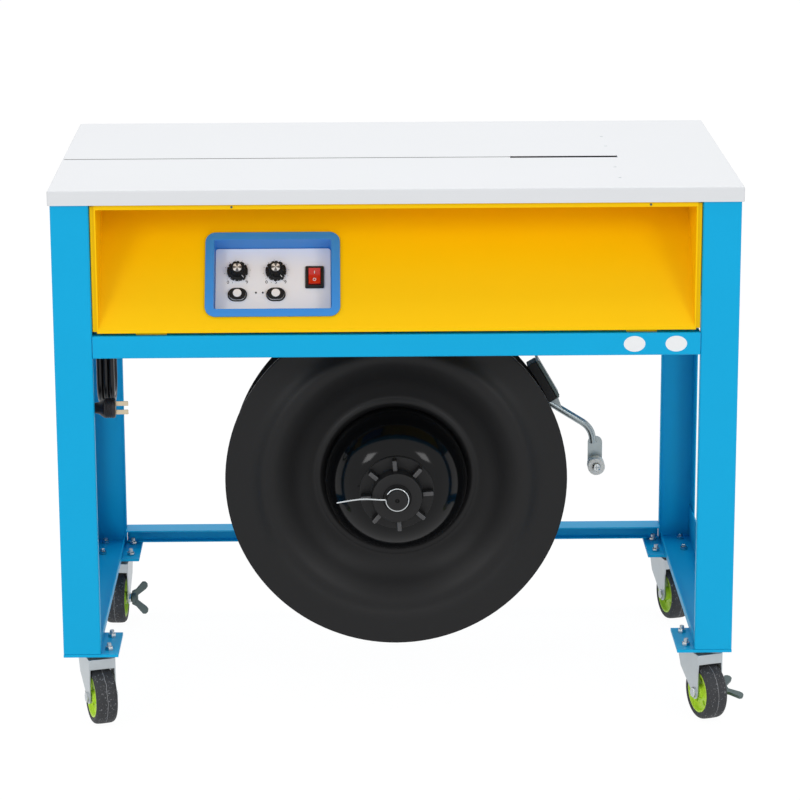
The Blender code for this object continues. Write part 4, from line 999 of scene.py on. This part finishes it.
def makeReel():
    t = reel["sheet"]
    outer, under, bead = dish(reel["front"], 1, 0.0, (0.110, -0.0190))
    lip = [(0.1085, -0.0182), (0.1050, -0.0168), (0.1018, -0.0176), (0.0990, -0.0200)]
    bell = eased([(0.0975, -0.0212), (0.0970, -0.006), (0.0950, 0.0080), (0.0910, 0.0200), (0.0850, 0.0305),
        (0.0770, 0.0398), (0.0680, 0.0475), (0.0590, 0.0530), (0.0510, 0.0558), (0.0450, 0.0565),
        (0.0300, 0.0565)], 2)
    back = [(max(r - t, 0.0300), h - t * 0.4) for r, h in bell]
    back = [(r, min(h, 0.0565 - t)) for r, h in back]
    # the dish in satin, the bell in gloss: two pieces that meet in the lip's groove
    dishSection = outer + lip + [(0.0978, -0.0212), (0.0978, -0.0234)] + under[::-1] + bead
    front = turned("reelFlangeFront", dishSection, reelAt(), out, 128, ring=True)
    finish(front, reelBlack, "reel", ["flange_front"], smooth=40)
    cone = turned("reelBell", bell + back[::-1], reelAt(), out, 128, ring=True)
    finish(cone, bellBlack, "reel", smooth=40)
    outer, under, bead = dish(reel["rear"], -1, -reel["gap"], (reel["shaft"] + 0.0003, -0.0195))
    rear = turned("reelFlangeRear", outer + under[::-1] + bead, reelAt(), out, 128, ring=True)
    finish(rear, reelBlack, "reel", ["flange_rear"], smooth=40)
    bore, drum, hub = reel["shaft"] + 0.0003, reel["drum"], reel["hub"]
    low, nose = -reel["gap"] + 0.020 + t + 0.0006, 0.0724
    fore = -0.0268
    core = turned("reelDrum", [(bore, low), (drum - 0.0006, low), (drum, low + 0.0006),
        (drum, fore - 0.0010), (drum - 0.0010, fore), (drum - 0.0030, fore), (drum - 0.0030, low + 0.003),
        (hub, low + 0.003), (hub, nose - 0.001), (hub - 0.001, nose), (bore, nose)], reelAt(),
        out, 96, ring=True)
    finish(core, reelBlack, "reel", ["reel_core"], smooth=35)
    makeNut(0.0568)


def makeNut(seat):
    bore, edge, wall = reel["shaft"] + 0.0003, reel["nut"], reel["nutWall"]
    nut = turned("hubNut", [(reel["hub"] + 0.0003, seat), (edge - 0.0006, seat), (edge, seat + 0.0008),
        (edge, seat + 0.0040), (edge - 0.0008, seat + 0.0050), (wall + 0.0015, seat + 0.0062),
        (wall, seat + 0.0080), (wall, seat + 0.0300), (wall - 0.0010, seat + 0.0318),
        (wall - 0.0030, seat + 0.0326), (0.0190, seat + 0.0326), (0.0180, seat + 0.0316),
        (bore, seat + 0.0316), (bore, seat + 0.0166), (reel["hub"] + 0.0003, seat + 0.0166)],
        segments=96, ring=True)
    parts = [nut]
    for i in range(reel["ribs"]):
        # one rib is a bar with a rounded crest, bedded in the nut's wall
        rib = roundedBlock("rib", (wall - 0.0006, -0.0030, seat + 0.0048),
            (edge - 0.0012, 0.0030, seat + 0.0238), 0.0016, 3)
        moved(rib, Matrix.Rotation(2 * pi * i / reel["ribs"] + radians(4), 4, "Z"))
        parts.append(rib)
    place = Matrix.Translation(reelAt()) @ toFront
    nut = finish(joined("hubNut", parts), nutBlack, "reel", ["hub_nut"], place, smooth=35)
    nut.data.materials.append(nutWearAndHighlight)
    back = place.inverted()
    for face in nut.data.polygons:      # the crests of the ribs are a little paler: partly worn by hands, partly a painted highlight
        spot = back @ face.center
        if math.hypot(spot.x, spot.y) > wall + 0.002 and spot.z > seat + 0.0222:
            face.material_index = 1


def makeShaft():
    r, front = reel["shaft"], reel["shaftFront"]
    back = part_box("reel_shaft")[1].y
    start = -(back - at(0, reel["rim"], 0).y)
    shaft = turned("reelShaft", [(r - 0.0008, start), (r, start + 0.0008), (r, front - 0.0115),
        (r - 0.0007, front - 0.0108), (r - 0.0007, front - 0.0062), (r, front - 0.0055),
        (r, front - 0.0012), (r - 0.0012, front), (0.0030, front), (0.0012, front - 0.0026)],
        reelAt(), out, 64)
    finish(shaft, nutBlack, "chassis", ["reel_shaft"], smooth=30)
    # spring wire clip in the shaft's groove, its tail bent to the side
    wire = reel["wire"]
    ring = r + 0.0003 + wire
    y = reel["rim"] - front + 0.006
    knots = [(ring * cos(radians(150 - 11 * i)), y, reel["z"] + ring * sin(radians(150 - 11 * i)))
        for i in range(31)]
    x, z = -ring, reel["z"]
    knots += [(x - 0.006, y, z + 0.0004), (x - 0.018, y, z + 0.0012), (x - 0.030, y, z + 0.0017),
        (x - 0.046, y, z), (x - 0.0655, y, z - 0.0033)]
    clip = tubeCurve("wireClip", [at(*k) for k in smoothPath(knots, 0.0016)], wire, brightSteel, 4)
    finish(asMesh(clip, "wireClip"), brightSteel, "chassis", ["wire_clip"], smooth=60)


makeReel()
makeShaft()
print("reel ready")

# brake arm

brake = {"y": -0.035, "pivot": (0.110, 0.453), "bend": (0.272, 0.352), "foot": (0.275, 0.330), "rod": 0.005,
    "roller": (0.279, 0.2995), "rollerR": 0.012, "rollerWide": 0.018, "angle": 30.0, "shoeThick": 0.012,
    "shoeWide": 0.028, "webAt": 0.125, "webHalf": 0.020}


def makeBrake():
    y = brake["y"]
    pivot, bend, foot = (Vector(brake[k]) for k in ("pivot", "bend", "foot"))
    before = bend + (pivot - bend).normalized() * 0.016
    after = bend + (foot - bend).normalized() * 0.014
    path = [(pivot.x + 0.006, y, pivot.y - 0.0037)]
    for i in range(11):
        t = i / 10
        spot = before * (1 - t) ** 2 + bend * 2 * t * (1 - t) + after * t * t
        path.append((spot.x, y, spot.y))
    path.append((foot.x, y, foot.y))
    rod = asMesh(tubeCurve("rod", [at(*p) for p in path], brake["rod"], zincPlate, 8), "rod")
    parts = [rod]
    eye = [(0.0053, -0.007), (0.0104, -0.007), (0.0110, -0.0064), (0.0110, 0.0064), (0.0104, 0.007),
        (0.0053, 0.007)]
    parts.append(turned("eye", eye, at(pivot.x, y, pivot.y), out, 40, ring=True))
    rx, rz = brake["roller"]
    plate = roundedPlate("footPlate", 0.020, 0.050, 0.004, 0.0085, 6, (0, 0, -0.002), 0.0006)
    parts.append(moved(plate, setAt(rx - 0.001, y + 0.003, rz + 0.014) @ toFront))
    front = y + 0.001 - 0.0003 - brake["rollerWide"] - 0.0003
    parts.append(turned("pin", [(0.0030, -0.0045), (0.0030, y - front), (0.0046, y - front),
        (0.0055, y - front + 0.0010), (0.0055, y - front + 0.0022), (0.0046, y - front + 0.0029)],
        at(rx, y, rz), out, 32))
    # the shoe's steel back, its long edge folded over, on a web from the rod
    a = radians(brake["angle"])
    outward, along = Vector((cos(a), 0, sin(a))), Vector((-sin(a), 0, cos(a)))
    middle = at(0, 0, reel["z"]) + outward * (reel["rear"] + 0.0006 + brake["shoeThick"] + 0.0003)
    yFront = at(0, reel["rim"] + reel["gap"] - brake["shoeWide"] / 2, 0).y
    yBack = at(0, y - 0.001, 0).y
    turn = Matrix((along.to_4d(), (0, -1, 0, 0), outward.to_4d(), (0, 0, 0, 1))).transposed()
    turn.col[0].w = turn.col[1].w = turn.col[2].w = 0
    place = Matrix.Translation((middle.x, 0, middle.z)) @ turn
    back = roundedBlock("shoeBack", (-0.030, -yBack, 0), (0.030, -yFront, 0.0034), 0.0007, 2)
    ridge = roundedBlock("shoeRidge", (-0.028, -yFront - 0.0052, 0.0030),
        (0.028, -yFront - 0.0012, 0.0046), 0.0007, 2)
    finish(joined("shoeBack", [back, ridge]), pedalSteel, "brake_arm", place=place)
    screw = setAt(rx, front - 0.0020, rz) @ toFront
    finish(moved(crossScrew("rollerScrew", 0.0050, 0.0016), screw), brightSteel, "brake_arm")
    rodDir = Vector((bend.x - pivot.x, 0, bend.y - pivot.y)).normalized()
    spot = at(pivot.x, 0, pivot.y) + rodDir * brake["webAt"]
    web = roundedBlock("web", (-0.5, yBack - 0.0031, -0.5), (0.5, yBack - 0.0001, 0.5), 0.0004, 1)
    corners = [middle + along * -0.014 + outward * 0.003, middle + along * 0.014 + outward * 0.003,
        spot - rodDir * brake["webHalf"], spot + rodDir * brake["webHalf"]]
    for vertex in web.data.vertices:
        u, w = vertex.co.x + 0.5, vertex.co.z + 0.5
        low = corners[0].lerp(corners[1], u)
        high = corners[3].lerp(corners[2], u)
        mid = low.lerp(high, w)
        vertex.co = (mid.x, vertex.co.y, mid.z)
    parts.append(web)
    finish(joined("brakeArm", parts), armSteel, "brake_arm", ["brake_arm"], smooth=35)
    shoe = sheetCopy("brake_shoe", "brakeShoe")
    finish(easeEdges(shoe, 0.0012, 3, 40), darkRubber, "brake_arm", ["brake_shoe"])
    r, wide = brake["rollerR"], brake["rollerWide"]
    roller = turned("strapRoller", [(0.0033, 0.0003), (r - 0.0006, 0), (r, 0.0006), (r, 0.0036),
        (r * 0.90, 0.0050), (r * 0.86, 0.0062), (r * 0.86, wide - 0.0062), (r * 0.90, wide - 0.0050),
        (r, wide - 0.0036), (r, wide - 0.0006), (r - 0.0006, wide), (0.0060, wide), (0.0055, wide - 0.001),
        (0.0033, wide - 0.001)], at(rx, y + 0.001 - 0.0003, rz), out, 56, ring=True)
    finish(roller, nylonWhite, "strap_roller", ["strap_roller"])


makeBrake()
print("brake arm ready")

# casters

caster = {"x": 0.408, "y": 0.2195, "high": 0.0990, "trail": 0.026, "wheelR": 0.0375, "wide": 0.030,
    "clear": 0.0012, "wall": 0.0022, "apron": 0.0050, "plate": (0.054, 0.072, 0.0025), "boltX": 0.0205,
    "boltY": 0.0280, "seat": 0.1033, "stud": [(0.0031, 0.1126), (0.0026, 0.1132)],
    "yaw": {"fl": 18.0, "fr": 20.0, "bl": -3.0, "br": 15.0}, "pedal": {"bl": 0.0, "fr": -72.0}}
corners = {"fl": (-1, -1), "fr": (1, -1), "bl": (-1, 1), "br": (1, 1)}


def casterPlace(tag):
    side, end = corners[tag]
    yaw = Matrix.Rotation(radians(caster["yaw"][tag]), 4, "Z")
    return setAt(side * caster["x"], end * caster["y"], 0) @ yaw


def wheelModels():
    # made once about the axle, lying along X at the origin
    r, half = caster["wheelR"], caster["wide"] / 2
    rim = r - 0.0095
    tread = [(rim + 0.0003, -half + 0.0014)] + eased([(rim + 0.0030, -half + 0.0004),
        (r - 0.0040, -half + 0.0002), (r - 0.0008, -half + 0.0030), (r, -half + 0.0080), (r, half - 0.0080),
        (r - 0.0008, half - 0.0030), (r - 0.0040, half - 0.0002), (rim + 0.0030, half - 0.0004)],
        3) + [(rim + 0.0003, half - 0.0014)]
    tyre = turned("tyre", tread, (0, 0, 0), (1, 0, 0), 96, ring=True)
    face = [(0.0043, half - 0.0004), (0.0086, half - 0.0004), (0.0094, half - 0.0014),
        (0.0100, half - 0.0058), (0.0112, half - 0.0066), (0.0232, half - 0.0066), (0.0244, half - 0.0058),
        (rim - 0.0022, half - 0.0016), (rim - 0.0012, half - 0.0010), (rim, half - 0.0012)]
    hub = turned("hub", face + [(rr, -h) for rr, h in face[::-1]], (0, 0, 0), (1, 0, 0), 72, ring=True)
    windows = []
    for i in range(5):
        window = roundedBlock("window", (-0.03, -0.0028, 0.0135), (0.03, 0.0028, 0.0212), 0.0016, 3)
        moved(window, Matrix.Rotation(2 * pi * i / 5, 4, "X"))
        windows.append(window)
    return tyre, cutBy(hub, windows)


def makeCasters():
    wide, deep, thick = caster["plate"]
    base = caster["high"] - thick
    tyreModel, hubModel = wheelModels()
    nutModel = hexScrew("studNut", 0.0100, 0.0048, stud=0.0036)
    axleModel = hexScrew("axleHead", 0.0128, 0.0034)
    for tag, (side, end) in corners.items():
        spot = casterPlace(tag)
        axle = Matrix.Translation((0, -caster["trail"], caster["wheelR"]))
        square = setAt(side * caster["x"], end * caster["y"], 0)
        top = roundedPlate("top", wide, deep, thick, 0.0070, 6, (0, 0, base), 0.0006)
        moved(top, Matrix.Identity(4))      # its eased edge goes into its mesh before it is joined
        race = turned("race", [(0.0180, base - 0.0039), (0.0184, base - 0.0030), (0.0184, base - 0.0016),
            (0.0204, base - 0.0004), (0.0220, base + 0.0002)], segments=56)
        parts = [top, race]
        nuts = []
        for dx, dy in ((-1, -1), (-1, 1), (1, -1), (1, 1)):
            x, y = dx * caster["boltX"], dy * caster["boltY"]
            parts.append(turned("stud", [(0.0031, base + 0.001)] + caster["stud"], (x, y, 0), segments=20))
            # the outer two stand on the side rail
            seat = caster["seat"] + (0.0022 if side * dx > 0 else 0.0002)
            nuts.append(again(nutModel, "nut", Matrix.Translation((x, y, seat))))
        finish(joined("casterPlate_" + tag, parts), zincPlate, "chassis", ["caster_plate_" + tag],
            square)
        finish(joined("casterNuts_" + tag, nuts), brightSteel, "chassis", place=square)
        # fork: the frame's own bent shape with rounded bends, its axle screw and nut on top
        fork = sheetCopy("fork_" + tag)
        openEdit(fork)
        back, reach = spot.inverted(), -caster["trail"] - 0.007
        chooseFaces(lambda middle, normal: normal.z < -0.9 and (back @ middle).y < reach
            and (back @ middle).z > 0.080)
        # the apron comes down close to the tyre
        bpy.ops.transform.translate(value=(0, 0, -caster["apron"]))
        closeEdit()
        easeEdges(fork, 0.0011, 3, 40)
        finish(fork, zincPlate, "swivel_" + tag, ["fork_" + tag], smooth=50)
        outer = caster["wide"] / 2 + caster["clear"] + caster["wall"]
        heads = []
        for face in (-1, 1):
            aside = Matrix.Translation((face * (outer - 0.0001), 0, 0))
            heads.append(again(axleModel, "head", axle @ aside @ Matrix.Rotation(face * pi / 2, 4, "Y")))
        finish(joined("axleEnds_" + tag, heads), brightSteel, "swivel_" + tag, place=spot)
        middle = spot @ axle @ Vector((0, 0, 0))
        tyre = again(tyreModel, "tyre_%s_rubber" % tag, Matrix.Identity(4))
        finish(tyre, tyreFinish("tyreRubber_" + tag, middle, radians(caster["yaw"][tag])), "wheel_" + tag,
            ["tyre_" + tag], spot @ axle)
        hub = again(hubModel, "hub_%s_wheel" % tag, Matrix.Identity(4))
        finish(hub, hubLime, "wheel_" + tag, ["hub_" + tag], spot @ axle)
        if tag in caster["pedal"]:
            pedal = sheetCopy("pedal_" + tag)
            finish(easeEdges(pedal, 0.0010, 3, 40), pedalSteel, "pedal_" + tag, ["pedal_" + tag],
                smooth=50)
    for model in (tyreModel, hubModel, nutModel, axleModel):
        bpy.data.objects.remove(model)


makeCasters()
print("casters ready")

# drive under the table

drive = {"motorR": 0.052, "motorLong": 0.150, "fins": 11, "belt": 0.0030}


def vWheel(node, name):
    low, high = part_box(node)
    middle, r = (low + high) / 2, (high.z - low.z) / 2
    bore = 0.0063 if r < 0.03 else 0.0073
    section = [(bore, -0.0068), (r - 0.0004, -0.0068), (r, -0.0062), (r, -0.0050), (r - 0.0058, -0.0016),
        (r - 0.0058, 0.0016), (r, 0.0050), (r, 0.0062), (r - 0.0004, 0.0068)]
    if r > 0.03:
        section += [(r - 0.009, 0.0066), (r - 0.011, 0.0030), (0.016, 0.0030), (0.014, 0.0066)]
    section.append((bore, 0.0068))
    wheel = turned(name, section, middle, (1, 0, 0), 72, ring=True)
    finish(wheel, castGrey, node, [node])
    return middle, r


def makeDrive():
    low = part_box("motor")[0]
    smallMiddle, small = vWheel("motor_pulley", "motorWheel")
    bigMiddle, big = vWheel("gear_pulley", "gearWheel")
    r, long = drive["motorR"], drive["motorLong"]
    x0 = low.x
    shell = [(r * 0.50, 0.0006), (r * 0.86, 0.0040), (r * 0.97, 0.0120), (r * 0.98, 0.0220)]
    for i in range(drive["fins"]):
        h = 0.026 + i * 0.0092
        shell += [(r * 0.90, h), (r, h + 0.0012), (r, h + 0.0040), (r * 0.90, h + 0.0052)]
    shell += [(r * 0.95, long - 0.018), (r * 0.90, long - 0.010), (r * 0.42, long - 0.0010),
        (0.0061, long - 0.0008), (0.0059, long + 0.0255)]
    body = turned("motorShell", shell, (x0, smallMiddle.y, smallMiddle.z), (1, 0, 0), 72)
    foot = roundedBlock("foot", (x0 + 0.030, smallMiddle.y - 0.040, low.z + 0.0001),
        (x0 + long - 0.030, smallMiddle.y + 0.040, low.z + 0.0118), 0.0015)
    finish(joined("motorBody", [body, foot]), motorGrey, "chassis", ["motor"], smooth=30)
    low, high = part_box("gear_case")
    case = roundedBlock("gearCase", (low.x + 0.0202, low.y, low.z),
        (low.x + 0.1398, high.y, high.z), 0.006, 4)
    lid = roundedBlock("lid", (low.x + 0.0240, low.y + 0.005, high.z - 0.0055),
        (low.x + 0.1360, high.y - 0.005, high.z - 0.0001), 0.0012, 2)
    shaftIn = turned("shaftIn", [(0.0069, -0.0098), (0.0070, -0.0090), (0.0070, 0.012)],
        bigMiddle, (1, 0, 0), 32)
    reach = high.x - bigMiddle.x - 0.120
    shaftOut = turned("shaftOut", [(0.0110, 0.0), (0.0110, reach - 0.0006), (0.0100, reach)],
        (bigMiddle.x + 0.120, bigMiddle.y, bigMiddle.z), (1, 0, 0), 40)
    finish(joined("gearCase", [case, lid, shaftIn, shaftOut]), castGrey, "chassis", ["gear_case"],
        smooth=30)
    # V belt round both wheels
    away = Vector((0, bigMiddle.y - smallMiddle.y, bigMiddle.z - smallMiddle.z))
    lean = math.atan2(away.z, away.y)
    spread = math.asin((big - small) / away.length)
    points = []
    for centre, radius, way, reach in ((smallMiddle, small, lean + pi, pi / 2 - spread),
            (bigMiddle, big, lean, pi / 2 + spread)):
        inner = radius - drive["belt"]
        for i in range(17):
            a = way + reach * (i / 8 - 1)
            points.append(centre + Vector((0, inner * cos(a), inner * sin(a))))
    belt = tubeCurve("driveBelt", points, drive["belt"], darkRubber, 3)
    belt.data.splines[0].use_cyclic_u = True
    finish(asMesh(belt, "driveBelt"), darkRubber, "chassis", smooth=50)
    press = sheetCopy("press_head", "pressHead")
    finish(easeEdges(press, 0.0005, 2, 40), pedalSteel, "press_head", ["press_head"])


makeDrive()
print("drive ready")
